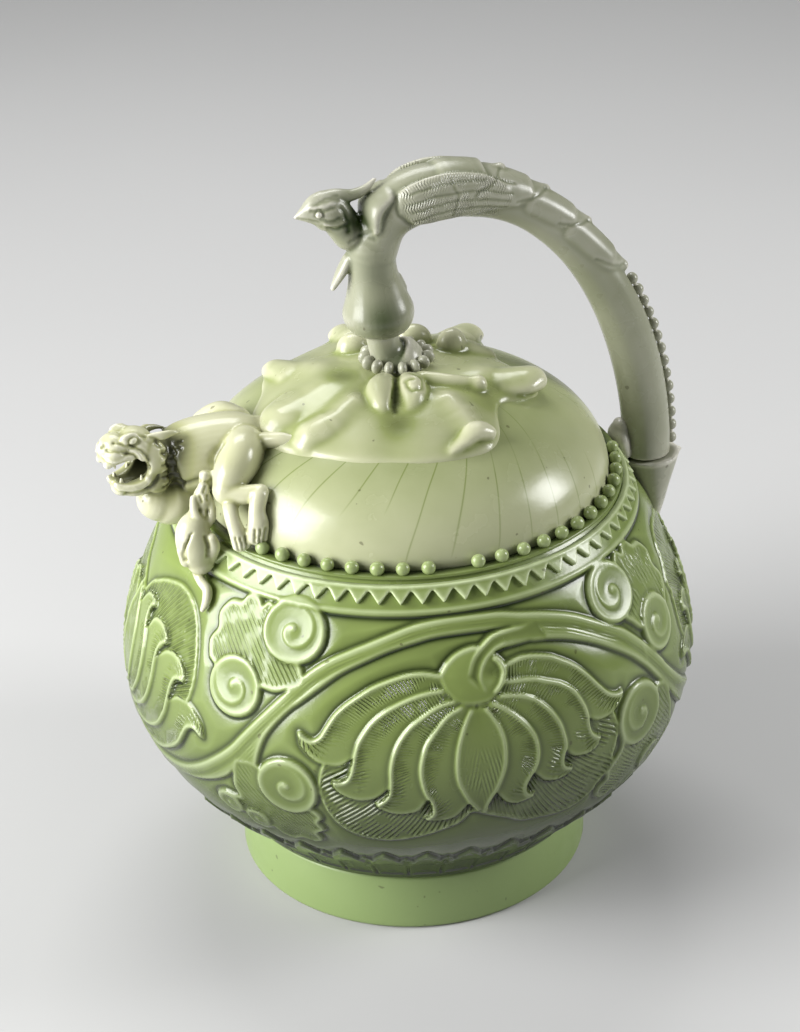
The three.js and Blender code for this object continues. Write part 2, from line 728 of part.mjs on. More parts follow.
function at(out, aside, up, ...sizes) {
  const place = [-lidRadius - out * lionUnit, aside * lionUnit, shoulderHeight + up * lionUnit];
  return [...place, ...inLionSize(sizes)];
}

// The same, measured outwards from the belly's own surface
function onBelly(out, aside, up, ...sizes) {
  const [, y, z] = at(out, aside, up);
  return [-Math.sqrt(bellyRadiusAt(z) ** 2 - y * y) - out * lionUnit, y, z, ...inLionSize(sizes)];
}

// The way that the wine takes, from the lioness's mouth through the lid's wall
function spoutWay(grow = 0) {
  const bore = (place) => [...place, spoutBore];
  return limb([
    at(28, -9.4, 15.6, 5.6, 4), at(18, -6.6, 15, 4.8, 3.8), bore(at(12, -4, 13.4)), bore(at(5, -1.4, 10)),
    bore([-lidRadius + 2, 0, ductLevel]), bore([-lidRadius + wall + 5, 0, ductLevel]),
  ], { grow, flat: [true, true] });
}

function mockLid() {
  return cut(lidWall(), spoutWay());
}

const ductLevel = shoulderHeight + ductHeight;
const ductOuter = spoutBore + ductWall;
const ductTurn = lidRadius - wall - 13; // from the pot's axis to the duct's upright end

// Height of the space under the lid at a distance from the axis
function underLidHeightAt(radius) {
  const share = Math.min(1, (radius / (lidRadius - wall)) ** lidFullness);
  return shoulderHeight + (lidRise - wall) * (1 - share) ** (1 / lidFullness);
}

// Duct that carries the way on under the lid and turns up to just below it
function spoutDuct() {
  const top = underLidHeightAt(ductTurn + ductOuter) - jointLine;
  const places = [[-lidRadius + wall, 0, ductLevel], [-ductTurn - 7, 0, ductLevel],
    [-ductTurn - 1.6, 0, ductLevel + 0.4 * (top - ductLevel)], [-ductTurn, 0, top]];
  const tube = limb(places.map((place) => [...place, ductOuter]), { flat: [true, true] });
  const bore = limb(places.map((place) => [...place, spoutBore]), { flat: [true, true], grow: 0.01 });
  return cut(tube.intersect(underLid(jointLine)), bore);
}

function lionTorso(grow = 0) {
  return limb([
    at(-13, -3.6, 15.4, 7, 6.8), at(-8, -3.6, 15.8, 8.8, 8), at(-2, -3, 15.2, 9, 8.6),
    at(4, -2.6, 14.4, 8.4, 8.6),
    at(7.4, -2.6, 13.6, 7, 7.8),
  ], { grow, sides: 12, flat: [false, true] });
}

function lionChest(grow = 0) {
  const stations = [at(3, -3, 4.8, 6.4, 6), at(7.6, -3.4, 5.4, 7.2, 6.8), at(10.2, -3.8, 6.6, 6.4, 6.2)];
  return limb(stations, { grow, sides: 12 });
}

function lionMane(grow = 0) {
  return limb([
    at(7.8, -2.8, 14, 7.6, 8.2), at(10, -3.6, 15, 8.2, 8.4), at(12, -4.4, 15.6, 7.6, 7.8),
  ], { grow, sides: 12, flat: [true, true] });
}

function lionHead(grow = 0) {
  return limb([
    at(12.4, -4.6, 18.6, 7, 5.8), at(16, -5.4, 19.8, 7, 5.9), at(19.2, -6.4, 20.2, 6, 5.3),
    at(21, -7, 20, 4.4, 4.2),
  ], { grow, sides: 12 });
}

function lionJaw(grow = 0) {
  return limb([
    at(12.2, -4.6, 11.2, 5.6, 3), at(15.6, -5.6, 10.8, 5.6, 2.8), at(18.2, -6.4, 11.6, 4.2, 2.4),
  ], { grow, sides: 12 });
}

function ear(side) {
  return limb([
    at(12, -4.4 + side * 6, 21 - 1.6 * side, 2, 1.5), at(9.4, -4 + side * 7, 22 - 2 * side, 1.9, 1.1),
    at(6.6, -3.8 + side * 7.2, 22 - 2.4 * side, 0.8, 0.6),
  ], { sides: 8 });
}

function thigh(side, grow = 0) {
  return limb([
    at(-9, -3.6 + side * 5.6, 16.2, 5, 6), at(-6, -3.6 + side * 9, 15, 4.8, 5.6),
    at(-3, -3.6 + side * 11.8, 12.2, 3.8, 4.2),
  ], { grow, across: point(0.3, side, 0.4) });
}

function hindPaw(side, grow = 0) {
  return limb([
    at(-4.4, -3.6 + side * 13.4, 8.8, 2.8, 2.8), at(-7.4, -3.6 + side * 16.4, 6.4, 2.7, 2.6),
    at(-7.4, -3.6 + side * 18.6, 3.4, 2.8, 2.4), at(-5.4, -3.6 + side * 19, 1.8, 2.6, 1.8),
  ], { grow, across: point(1, 0, 0) });
}

function lionTail() {
  const tail = limb([at(-14, -9.4, 20, 2, 2), at(-18.5, -12.6, 21, 1.9, 1.8), at(-22, -15, 22, 1.4, 1.4)],
    { sides: 8, across: point(0, 0, 1) });
  const leaves = calyxLeaves.slice(0, 2).map((leaf) => calyxLeaf(leaf, jointLine));
  return cut(tail, lionTorso(jointLine), thigh(-1, jointLine), filledPot(), ...leaves);
}

function cubBody(grow = 0) {
  return limb([
    at(4, -16.4, 3.4, 3.8, 3.6), onBelly(4.9, -18, -1, 4.6, 4.4), onBelly(2.2, -19.4, -5.6, 4.2, 4),
  ], { grow, across: point(1, 0, 0) });
}

function cubHead(grow = 0) {
  return limb([at(4, -15.6, 8.4, 2.8, 2.6), at(2.6, -15, 12, 2.7, 2.4), at(1.2, -14.4, 14.8, 1.8, 1.6)],
    { grow, sides: 8, across: point(1, 0, 0) });
}

function cubForeleg(out, grow = 0) {
  return limb([
    at(4 + out, -18, 1.6, 1.6, 1.6), at(4.2 + 1.3 * out, -16.6, 5.4, 1.5, 1.5),
    at(3 + 1.5 * out, -14.2, 8.8, 1.7, 1.6),
  ], { grow, sides: 8, across: point(1, 0, 0) });
}

function cubTail() {
  const tail = limb([
    onBelly(1.8, -22, -9, 1.6, 1.5), onBelly(0.6, -24.6, -13, 1.5, 1.3), onBelly(0.4, -26.6, -18, 1, 0.9),
  ], { sides: 8, across: point(1, 0, 0) });
  return onPot(tail, cubBody(jointLine));
}

// Trims a modelled piece to the pot and to the pieces already luted on
function onPot(solid, ...neighbours) {
  return cut(solid, filledPot(), shoulderLedge(jointLine), sawtoothBand(jointLine), ...neighbours);
}

const near = jointLine;
const legs = [["near", -1], ["far", 1]];
const pieces = [
  ["foot_ring", footGlaze, footRing],
  ["lower_bowl", bodyGlaze, lowerBowl],
  ["upper_bowl", bodyGlaze, upperBowl],
  ["mock_lid", lidGlaze, mockLid],
  ["filling_tube", bareClay, fillingTube],
  ["spout_duct", bareClay, spoutDuct],
  ["shoulder_ledge", bodyGlaze, () => shoulderLedge()],
  ["pearls_front", bodyGlaze, () => shoulderPearls(true)],
  ["pearls_back", bodyGlaze, () => shoulderPearls(false)],
  ["sawtooth_band", bodyGlaze, () => sawtoothBand()],
  ["persimmon_calyx", lidGlaze, persimmonCalyx],
  ["calyx_bud", lidGlaze, () => cut(calyxBud(), neckStem(near), collarRoom())],
  ["neck_stem", handleGlaze, () => neckStem()],
  ["pearl_collar", handleGlaze, pearlCollar],
  ["phoenix_breast", handleGlaze, () => cut(phoenixBreast(), neckStem(near))],
  ["phoenix_body", handleGlaze, () => cut(phoenixBody(), phoenixBreast(near))],
  ["phoenix_head", handleGlaze, () => cut(phoenixHead(), phoenixBody(near), phoenixBreast(near))],
  ["phoenix_beak", handleGlaze, phoenixBeak],
  ["phoenix_crest", handleGlaze, phoenixCrest],
  ["throat_feather", handleGlaze, throatFeather],
  ["handle_bow", handleGlaze, () => cut(handleBow(), phoenixBody(near))],
  ["handle_pearls", handleGlaze, handlePearlRow],
  ["handle_socket", handleGlaze, () => onPot(handleSocket(), handleBow(near))],
  ["socket_petal", handleGlaze, socketPetal],
  ["lion_torso", figureGlaze, () => onPot(lionTorso(), spoutWay())],
  ["lion_chest", figureGlaze, () => onPot(lionChest(), lionTorso(near), spoutWay())],
  ["lion_mane", figureGlaze, () => onPot(lionMane(), lionTorso(near), lionChest(near), spoutWay())],
  ["lion_head", figureGlaze, () => onPot(lionHead(), lionTorso(near), lionMane(near), spoutWay())],
  ["lion_jaw", figureGlaze,
    () => onPot(lionJaw(), lionMane(near), lionHead(near), lionChest(near), spoutWay())],
  ["lion_tail", figureGlaze, lionTail],
  ["cub_body", figureGlaze, () => onPot(cubBody(), lionChest(near), lionTorso(near), hindPaw(-1, near))],
  ["cub_head", figureGlaze,
    () => onPot(cubHead(), cubBody(near), lionChest(near), lionTorso(near), thigh(-1, near))],
  ["cub_tail", figureGlaze, cubTail],
];
for (const [name, side] of legs) {
  pieces.push([`wing_${name}`, handleGlaze, () => cut(wing(side), phoenixBody(near), handleBow(near))]);
  pieces.push([`lion_ear_${name}`, figureGlaze,
    () => cut(ear(side), lionHead(near), lionMane(near), lionTorso(near))]);
  pieces.push([`lion_thigh_${name}`, figureGlaze,
    () => onPot(thigh(side), lionTorso(near), lionChest(near))]);
  pieces.push([`lion_paw_${name}`, figureGlaze,
    () => onPot(hindPaw(side), thigh(side, near), lionTorso(near))]);
}
for (const [name, out] of [["left", 2.4], ["right", -2.4]]) {
  pieces.push([`cub_foreleg_${name}`, figureGlaze, () => onPot(cubForeleg(out),
    cubBody(near), cubHead(near), lionChest(near), lionTorso(near), thigh(-1, near), hindPaw(-1, near))]);
}
for (let i = 0; i < featherSpans.length; i++) {
  pieces.push([`tail_feather_${i + 1}`, handleGlaze, () => trimmedFeather(i)]);
}

const ewer = new THREE.Group();
for (const [name, material, shape] of pieces) {
  const mesh = new THREE.Mesh(geometryOf(shape()), material);
  mesh.name = name;
  ewer.add(mesh);
}

export default ewer;
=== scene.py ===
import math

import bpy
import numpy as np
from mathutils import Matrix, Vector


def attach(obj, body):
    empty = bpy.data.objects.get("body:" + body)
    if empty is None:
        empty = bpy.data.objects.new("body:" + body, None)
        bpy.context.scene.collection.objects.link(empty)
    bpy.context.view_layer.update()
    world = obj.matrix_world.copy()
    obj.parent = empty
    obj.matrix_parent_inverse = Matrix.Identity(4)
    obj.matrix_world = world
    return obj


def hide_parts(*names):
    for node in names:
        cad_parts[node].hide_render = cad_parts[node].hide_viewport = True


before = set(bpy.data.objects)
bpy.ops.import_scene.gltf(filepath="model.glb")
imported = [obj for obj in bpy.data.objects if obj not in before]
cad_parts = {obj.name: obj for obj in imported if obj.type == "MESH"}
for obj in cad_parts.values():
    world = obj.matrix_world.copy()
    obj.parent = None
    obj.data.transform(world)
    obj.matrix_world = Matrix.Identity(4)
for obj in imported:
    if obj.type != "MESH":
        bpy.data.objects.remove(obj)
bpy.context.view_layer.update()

# A reverse-flow ewer in carved celadon stoneware: a round pot with a peony scroll cut into its belly,
# a mock lid, a phoenix whose body runs on into the bow handle, and a lioness with her cub for a spout.
# Sizes are in millimetres, measured from the pot's axis and from the plane that the foot stands on,
# and are turned into metres as each piece is made. Turns round the pot are in degrees from the front.

MM = 0.001

# Driving dimensions, the same as the pot's own
joint_line = 0.3
wall = 4
front_columns = 300
back_columns = 160
belly_rings = 290
foot_radius = 44.9
foot_taper = 0.9
foot_height = 15.5
foot_wall = 6.5
floor_thickness = 5
belly_radius = 71.5
belly_height = 60.9
lower_belly = 52.3
lower_fullness = 2.02
upper_fullness = 1.714
shoulder_height = 105.6
shoulder_step = 2.3
lid_radius = 50
lid_rise = 26
lid_fullness = 2.2
petal_radius = 4.2
petal_spread = 5.4
pearl_radius = 1.6
pearl_places = 56
lost_pearl_turn = -4
spout_cover = 29
socket_cover = 9
tooth_count = 72
tooth_drop = 3.4
band_thickness = 0.9
bow_radius = 6
bow_waist = 5
bow_span = 53.5
bow_rise = 76.4
bow_fullness = 1.97
bow_centre = 10
bow_foot = 100
neck_centre = -4.8
stem_centre = -2.4
breast_radius = 8.5
neck_radius = 5.7
collar_centre = -0.8
collar_radius = 8
collar_pearl_radius = 1.4
collar_pearls = 15
handle_pearl_radius = 1.5
handle_pearls = 14

foot_top = foot_radius - foot_taper
shoulder_radius = lid_radius + shoulder_step
shoulder_share = (1 - (shoulder_radius / belly_radius) ** upper_fullness) ** (1 / upper_fullness)
upper_belly = (shoulder_height - belly_height) / shoulder_share
ledge_top = shoulder_height + 0.9
crown = shoulder_height + lid_rise
stem_foot = crown + 2.6 + joint_line
stem_height = 8.6
breast_foot = stem_foot + stem_height + joint_line
neck_top = breast_foot + 22
collar_height = stem_foot + 2.4
socket_x = bow_centre + bow_span


def placed(name, data):
    """Puts a new object into the scene, at the origin."""
    made = bpy.data.objects.new(name, data)
    bpy.context.scene.collection.objects.link(made)
    return made


# Camera, floor and light

def aim_camera():
    """The photograph's own view, found from the ovals of the foot, the shoulder and the lid."""
    turn, rise, roll = (math.radians(angle) for angle in (-16, 29.9, -1.76))
    distance, aim = 590, Vector((0, 0, 80))
    back = Vector((math.sin(turn) * math.cos(rise), -math.cos(turn) * math.cos(rise), math.sin(rise)))
    level = Vector((math.cos(turn), math.sin(turn), 0))
    upright = back.cross(level)
    right = level * math.cos(roll) + upright * math.sin(roll)
    up = upright * math.cos(roll) - level * math.sin(roll)
    view = bpy.data.cameras.new("photographs_view")
    view.lens = 82.64
    view.sensor_width = 36
    photo_height = 1032
    view.shift_x = -6 / photo_height
    view.shift_y = 45.4 / photo_height
    view.clip_start, view.clip_end = 0.01, 20
    axes = Matrix((right, up, back)).transposed().to_4x4()
    camera = placed("photographs_view", view)
    camera.matrix_world = Matrix.Translation((aim + back * distance) * MM) @ axes
    bpy.context.scene.camera = camera


def light_studio():
    """A dim room, a large window on the left, a small one on the right, and a skylight behind. Each light
    has a place, the height on the axis that it faces, its width and its height, in metres, and its watts."""
    world = bpy.data.worlds.new("pale_room")
    world.use_nodes = True
    room = world.node_tree.nodes["Background"]
    room.inputs["Color"].default_value = (0.9, 0.94, 1, 1)
    room.inputs["Strength"].default_value = 0.09
    bpy.context.scene.world = world
    for name, place, aim, width, height, watts in (
            ("left_window", (-0.84, -0.06, 0.42), 0.08, 0.6, 0.7, 18),
            ("right_window", (0.8, -0.22, 0.44), 0.09, 0.3, 0.4, 6),
            ("top_back", (0.05, 0.5, 0.9), 0.12, 0.6, 0.4, 5)):
        lamp = bpy.data.lights.new(name, "AREA")
        lamp.shape = "RECTANGLE"
        lamp.size, lamp.size_y, lamp.energy = width, height, watts
        facing = (Vector((0, 0, aim)) - Vector(place)).to_track_quat("-Z", "Y").to_matrix().to_4x4()
        placed(name, lamp).matrix_world = Matrix.Translation(place) @ facing


def lay_floor():
    """A pale sweep: a flat floor that bends up into the backdrop. In metres."""
    half, front, depth, rise, bend, steps = 3.0, -2.2, 1.6, 2.4, 0.7, 12
    profile = [(front, 0.0), (depth - bend, 0.0)]
    for i in range(1, steps + 1):
        angle = 0.5 * math.pi * i / steps
        profile.append((depth - bend + bend * math.sin(angle), bend - bend * math.cos(angle)))
    profile.append((depth, rise))
    places = [(side * half, y, z) for y, z in profile for side in (-1, 1)]
    faces = [(2 * i, 2 * i + 1, 2 * i + 3, 2 * i + 2) for i in range(len(profile) - 1)]
    mesh = bpy.data.meshes.new("floor")
    mesh.from_pydata(places, [], faces)
    mesh.shade_smooth()
    paper = Recipe("pale_paper")
    colour = paper.mixed(paper.noise(3), (0.48, 0.48, 0.475), (0.52, 0.52, 0.515))
    paper.coat(colour, 0.9)
    paper.shader.inputs["Specular IOR Level"].default_value = 0.1
    mesh.materials.append(paper.material)
    placed("floor", mesh)


# Glazes and clay

class Nodes:
    """A node tree under construction, with short ways to add and join its nodes."""

    def __init__(self, tree):
        self.tree = tree

    def node(self, kind, inputs=(), **settings):
        """Adds a node. `inputs` gives its sockets, by name or number, values or other nodes' outputs."""
        made = self.tree.nodes.new(kind)
        for key, value in settings.items():
            setattr(made, key, value)
        for socket, value in dict(inputs).items():
            self.feed(made.inputs[socket], value)
        return made

    def feed(self, socket, value):
        if isinstance(value, bpy.types.NodeSocket):
            self.tree.links.new(value, socket)
        else:
            socket.default_value = value


class Recipe(Nodes):
    """A material for clay, glaze or paper, patterned in the object's own coordinates."""

    def __init__(self, name):
        self.material = bpy.data.materials.new(name)
        self.material.use_nodes = True
        super().__init__(self.material.node_tree)
        self.shader = self.tree.nodes["Principled BSDF"]
        self.place = self.node("ShaderNodeTexCoord").outputs["Object"]

    def coat(self, colour, roughness, normal=None):
        self.feed(self.shader.inputs["Base Color"], colour)
        self.feed(self.shader.inputs["Roughness"], roughness)
        if normal:
            self.feed(self.shader.inputs["Normal"], normal)
        return self.material

    def sum(self, operation, *values):
        return self.node("ShaderNodeMath", enumerate(values), operation=operation).outputs["Value"]

    def noise(self, scale, detail=2.0):
        inputs = {"Vector": self.place, "Scale": scale, "Detail": detail}
        return self.node("ShaderNodeTexNoise", inputs).outputs["Fac"]

    def point_value(self, name):
        return self.node("ShaderNodeAttribute", attribute_name=name).outputs["Fac"]

    def spread(self, value, low, high, bottom=0.0, top=1.0, smooth=False):
        ends = {"Value": value, "From Min": low, "From Max": high, "To Min": bottom, "To Max": top}
        curve = "SMOOTHSTEP" if smooth else "LINEAR"
        return self.node("ShaderNodeMapRange", ends, interpolation_type=curve).outputs["Result"]

    def mixed(self, share, first, second, blend="MIX"):
        made = self.node("ShaderNodeMix", data_type="RGBA", blend_type=blend)
        colours = [socket for socket in made.inputs if socket.type == "RGBA"]
        self.feed(made.inputs["Factor"], share)
        for socket, colour in zip(colours, (first, second)):
            self.feed(socket, colour if isinstance(colour, bpy.types.NodeSocket) else (*colour, 1))
        return next(socket for socket in made.outputs if socket.type == "RGBA")

    def bumped(self, height, strength, distance, normal=None):
        inputs = {"Height": height, "Strength": strength, "Distance": distance}
        if normal:
            inputs["Normal"] = normal
        return self.node("ShaderNodeBump", inputs).outputs["Normal"]

    def part(self, axis):
        return self.node("ShaderNodeSeparateXYZ", {"Vector": self.place}).outputs[axis]


def celadon(name, thin, body, deep, roughness=0.16, low=None, combed=False, hairlines=False, patches=0.12):
    """A celadon glaze: pale where it runs thin on an edge, its own green on the body, and dark where it
    pools in the carving and where shade is painted. The point attribute `pool_and_shade` says which, from -1
    on an edge to 1 in a recess or in painted shade.
    `low` paints shade near the foot: the colour that the glaze is multiplied by there, and the heights it
    fades out between."""
    recipe = Recipe(name)
    pool_and_shade = recipe.spread(recipe.point_value("pool_and_shade"), -1, 1)
    cloud = recipe.sum("MULTIPLY_ADD", recipe.noise(45, 4), 2 * patches, -patches)
    depth = recipe.sum("ADD", pool_and_shade, cloud)
    if combed:
        wave = recipe.sum("SINE", recipe.sum("MULTIPLY", recipe.point_value("comb"), 2 * math.pi))
        ruffle = recipe.spread(recipe.noise(260, 1), 0.35, 0.6)
        strokes = recipe.sum("MULTIPLY", recipe.sum("MULTIPLY", wave, recipe.point_value("combed")), ruffle)
        depth = recipe.sum("MULTIPLY_ADD", strokes, -0.05, depth)
    if hairlines:
        depth = recipe.sum("MULTIPLY_ADD", hairline_mask(recipe), 0.2, depth)
    ramp = recipe.node("ShaderNodeValToRGB")
    stops = ramp.color_ramp.elements
    stops[0].position, stops[0].color = 0.16, (*thin, 1)
    stops[1].position, stops[1].color = 0.95, (*deep, 1)
    stops.new(0.5).color = (*body, 1)
    recipe.feed(ramp.inputs["Fac"], depth)
    colour = ramp.outputs["Color"]
    if low:
        # Painted shade: the colour is darkened towards the foot by the colour in `low`, and the darkening
        # fades out going up.
        shade, bottom, top = low
        shade_fade_up = recipe.spread(recipe.part("Z"), bottom * MM, top * MM, smooth=True)
        colour = recipe.mixed(1.0, colour, recipe.mixed(shade_fade_up, shade, (1, 1, 1)), "MULTIPLY")
    spots = recipe.spread(recipe.noise(520, 0), 0.83, 0.86)
    colour = recipe.mixed(recipe.sum("MULTIPLY", spots, 0.5), colour, (0.05, 0.04, 0.015))
    normal = recipe.bumped(recipe.noise(900), 0.1, 0.0002)
    if combed:
        normal = recipe.bumped(strokes, 0.9, 0.00022, normal)
    recipe.shader.inputs["IOR"].default_value = 1.5
    rough = recipe.spread(recipe.noise(120, 3), 0.3, 0.7, roughness * 0.8, roughness * 1.3)
    return recipe.coat(colour, rough, normal)


def hairline_mask(recipe):
    """Long fine cracks in the glaze, leaning as they run down the dome."""
    turn = recipe.sum("ARCTAN2", recipe.part("Y"), recipe.part("X"))
    squares = [recipe.sum("POWER", recipe.part(axis), 2) for axis in "XY"]
    reach = recipe.sum("SQRT", recipe.sum("ADD", *squares))
    wander = recipe.sum("MULTIPLY", recipe.noise(22, 1), 1.6)
    spokes = recipe.sum("MULTIPLY_ADD", turn, 32 / (2 * math.pi), wander)
    phase = recipe.sum("MULTIPLY_ADD", reach, 62, spokes)
    line = recipe.sum("ABSOLUTE", recipe.sum("SUBTRACT", recipe.sum("FRACT", phase), 0.5))
    thin = recipe.spread(line, 0.0, 0.035, 1, 0)
    broken = recipe.spread(recipe.noise(30, 1), 0.47, 0.55)
    return recipe.sum("MULTIPLY", thin, broken)


def bare_clay():
    clay = Recipe("bare_grey_stoneware")
    grit = clay.noise(700, 4)
    colour = clay.mixed(grit, (0.2, 0.17, 0.13), (0.42, 0.38, 0.31))
    return clay.coat(colour, 0.85, clay.bumped(grit, 0.4, 0.0003))


# Clay that is worked by moving its points

class Clay:
    """A mesh in millimetres whose points can be smoothed and pushed along their normals."""

    def __init__(self, name, mesh):
        self.name = name
        self.mesh = mesh
        self.points = read_vectors(mesh.vertices, "co")
        ends = np.empty(2 * len(mesh.edges), np.int64)
        mesh.edges.foreach_get("vertices", ends)
        self.edges = ends.reshape(-1, 2)
        self.valence = np.bincount(self.edges.ravel(), minlength=len(self.points)).clip(1)

    def around(self, values):
        """Mean of the values at each point's neighbours."""
        first, second = self.edges.T
        total = np.zeros_like(values, dtype=float)
        columns = values.reshape(len(values), -1)
        for k in range(columns.shape[1]):
            column = columns[:, k]
            summed = np.bincount(first, column[second], len(values))
            summed += np.bincount(second, column[first], len(values))
            total.reshape(len(values), -1)[:, k] = summed / self.valence
        return total

    def relax(self, rounds, share=0.5):
        for _ in range(rounds):
            self.points += share * (self.around(self.points) - self.points)

    def normals(self):
        self.mesh.vertices.foreach_set("co", self.points.ravel())
        self.mesh.update()
        return read_vectors(self.mesh.vertex_normals, "vector")

    def push(self, heights):
        self.points += self.normals() * np.asarray(heights)[:, None]

    def draw(self, *strokes):
        """Raises ridges, or cuts grooves where the height is less than zero. A stroke is a list of places
        near the surface, a height and a half width."""
        total = np.zeros(len(self.points))
        for places, height, half in strokes:
            distance, near = self.beside(places, 3 * half)
            total[near] += height * np.exp(-((distance / half) ** 2))
        self.push(total)

    def beside(self, places, reach):
        """Distance from a line laid on the surface, for the points close to it."""
        line = np.asarray([place[:3] for place in places], float)
        line = through(line, np.linspace(0, 1, 5 * (len(line) - 1) + 1))
        line = np.array([self.points[((self.points - spot) ** 2).sum(axis=1).argmin()] for spot in line])
        low, high = line.min(axis=0) - reach, line.max(axis=0) + reach
        near = np.flatnonzero(((self.points > low) & (self.points < high)).all(axis=1))
        best = np.full(len(near), 99.0)
        for start, end in zip(line[:-1], line[1:]):
            along = end - start
            gone = self.points[near] - start
            share = (gone @ along / (along @ along + 1e-9)).clip(0, 1)
            best = np.minimum(best, np.linalg.norm(gone - share[:, None] * along, axis=1))
        return best, near

    def with_shade_and_pool_patches(self, pool_and_shade, *dark_patches):
        """Adds darker glaze colour round places, paler where the amount is less than zero: painted shade
        where shadow falls, and glaze pooled in hollows. Each patch is a place, a radius and an amount.
        """
        for place, radius, amount in dark_patches:
            pool_and_shade = pool_and_shade + amount * np.exp(-(((self.points - place[:3]) ** 2).sum(axis=1) / radius**2))
        return pool_and_shade.clip(-1, 1)

    def pooling(self, reach=12, full=0.12):
        """How far each point lies in a hollow, from -1 on a sharp edge to 1 in a recess."""
        smooth = self.points.copy()
        for _ in range(reach):
            smooth += 0.5 * (self.around(smooth) - smooth)
        hollow = ((smooth - self.points) * self.normals()).sum(axis=1)
        return np.clip(hollow / full, -1, 1)

    def piece(self, material, slot, nodes, pool_and_shade=None, smooth=True, **attributes):
        """Makes the finished piece, in metres, with its glaze."""
        if pool_and_shade is None:
            pool_and_shade = self.pooling()
        for label, values in {"pool_and_shade": pool_and_shade, **attributes}.items():
            give_values(self.mesh, label, values)
        self.mesh.vertices.foreach_set("co", (self.points * MM).ravel())
        self.mesh.materials.clear()
        self.mesh.materials.append(material)
        if smooth:
            self.mesh.shade_smooth()
        self.mesh.update()
        settle(placed(self.name, self.mesh), nodes)


def read_vectors(items, field):
    values = np.empty(3 * len(items))
    items.foreach_get(field, values)
    return values.reshape(-1, 3)


def settle(piece, nodes):
    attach(piece, "root")
    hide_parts(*nodes)


def mesh_from(name, points, faces):
    mesh = bpy.data.meshes.new(name)
    mesh.from_pydata(np.asarray(points).tolist(), [], faces)
    mesh.validate()
    return mesh


def ring_faces(rows, columns, closed=False):
    """Quads between rings of points, each ring closed on itself."""
    faces = []
    for row in range(rows if closed else rows - 1):
        below, above = row * columns, ((row + 1) % rows) * columns
        for k in range(columns):
            following = (k + 1) % columns
            faces.append((below + k, below + following, above + following, above + k))
    return faces


def through(rows, shares):
    """Places on a smooth curve through the rows, at shares of the way from the first to the last."""
    rows = np.asarray(rows, float)
    last = len(rows) - 1
    place = np.clip(np.asarray(shares, float) * last, 0, last - 1e-9)
    index = place.astype(int)
    t = (place - index)[:, None]
    padded = np.vstack([2 * rows[0] - rows[1], rows, 2 * rows[-1] - rows[-2]])
    a, b, c, d = (padded[index + k] for k in range(4))
    bend = (2 * a - 5 * b + 4 * c - d) * t**2 + (3 * b - a - 3 * c + d) * t**3
    return 0.5 * (2 * b + (c - a) * t + bend)


def limb(stations, across=(0, 1, 0), flat=(False, False), steps=8):
    """A modelled limb: oval rings along a smooth path. Each station is x, y, z, half width, half depth,
    with the width along `across`. An end is cut flat or rounded over. Returns its points and faces."""
    rows = [list(station) + [station[3]] * (5 - len(station)) for station in stations]
    shares = np.linspace(0, 1, steps * (len(rows) - 1) + 1)
    path = through(rows, shares)
    tangents = np.gradient(path[:, :3], axis=0)
    tangents /= np.linalg.norm(tangents, axis=1)[:, None]
    across = np.asarray(across, float)
    sides = 36
    angles = np.linspace(0, 2 * np.pi, sides, endpoint=False)

    def ring(k, along=0.0, share=1.0):
        tangent = tangents[k]
        side = across - (across @ tangent) * tangent
        side /= np.linalg.norm(side)
        normal = np.cross(tangent, side)
        centre = path[k, :3] + along * tangent
        wide, deep = path[k, 3:] * share
        return centre + wide * np.cos(angles)[:, None] * side + deep * np.sin(angles)[:, None] * normal

    def cap(k, direction):
        if flat[0 if direction < 0 else 1]:
            return [], path[k, :3]
        reach = min(path[k, 3:]) * direction
        bends = [0.5 * np.pi * j / 6 for j in range(1, 6)]
        return [ring(k, reach * math.sin(b), math.cos(b)) for b in bends], path[k, :3] + reach * tangents[k]

    first, first_pole = cap(0, -1)
    last, last_pole = cap(len(path) - 1, 1)
    rings = first[::-1] + [ring(k) for k in range(len(path))] + last
    points = np.vstack([*rings, first_pole, last_pole])
    faces = ring_faces(len(rings), sides)
    end = (len(rings) - 1) * sides
    pole = len(points) - 2
    for k in range(sides):
        following = (k + 1) % sides
        faces.append((pole, following, k))
        faces.append((pole + 1, end + k, end + following))
    return points, faces


def ball(centre, radii, turn=None, segments=32, rings=20):
    """An oval lump. `turn` is a 3 by 3 rotation."""
    points = []
    for i in range(1, rings):
        polar = np.pi * i / rings
        for k in range(segments):
            angle = 2 * np.pi * k / segments
            level = math.sin(polar)
            points.append((level * math.cos(angle), level * math.sin(angle), math.cos(polar)))
    points += [(0, 0, 1), (0, 0, -1)]
    points = np.array(points) * (np.ones(3) * radii)
    if turn is not None:
        points = points @ np.asarray(turn).T
    faces = ring_faces(rings - 1, segments)
    top, bottom = len(points) - 2, len(points) - 1
    end = (rings - 2) * segments
    for k in range(segments):
        following = (k + 1) % segments
        faces.append((top, following, k))
        faces.append((bottom, end + k, end + following))
    return points + np.asarray(centre, float), faces


class Pose:
    """A figure's own directions: forward, to its near side, and up, from a place in the pot's frame."""

    def __init__(self, origin, heading):
        turn = math.radians(heading)
        self.origin = np.asarray(origin, float)
        self.forward = np.array([math.cos(turn), math.sin(turn), 0])
        self.near = np.array([-math.sin(turn), math.cos(turn), 0])
        self.up = np.cross(self.forward, self.near)

    def __call__(self, forward, near, up, *sizes):
        return (*(self.origin + forward * self.forward + near * self.near + up * self.up), *sizes)

    def limb(self, stations, across=(0, 1, 0), **settings):
        """A limb along stations of forward, near, up and sizes, with its width along `across`."""
        side = across[0] * self.forward + across[1] * self.near + across[2] * self.up
        return limb([self(*station) for station in stations], across=side, **settings)

    def ball(self, forward, near, up, radii):
        turn = np.column_stack([self.forward, self.near, self.up])
        return ball(self(forward, near, up), radii, turn)


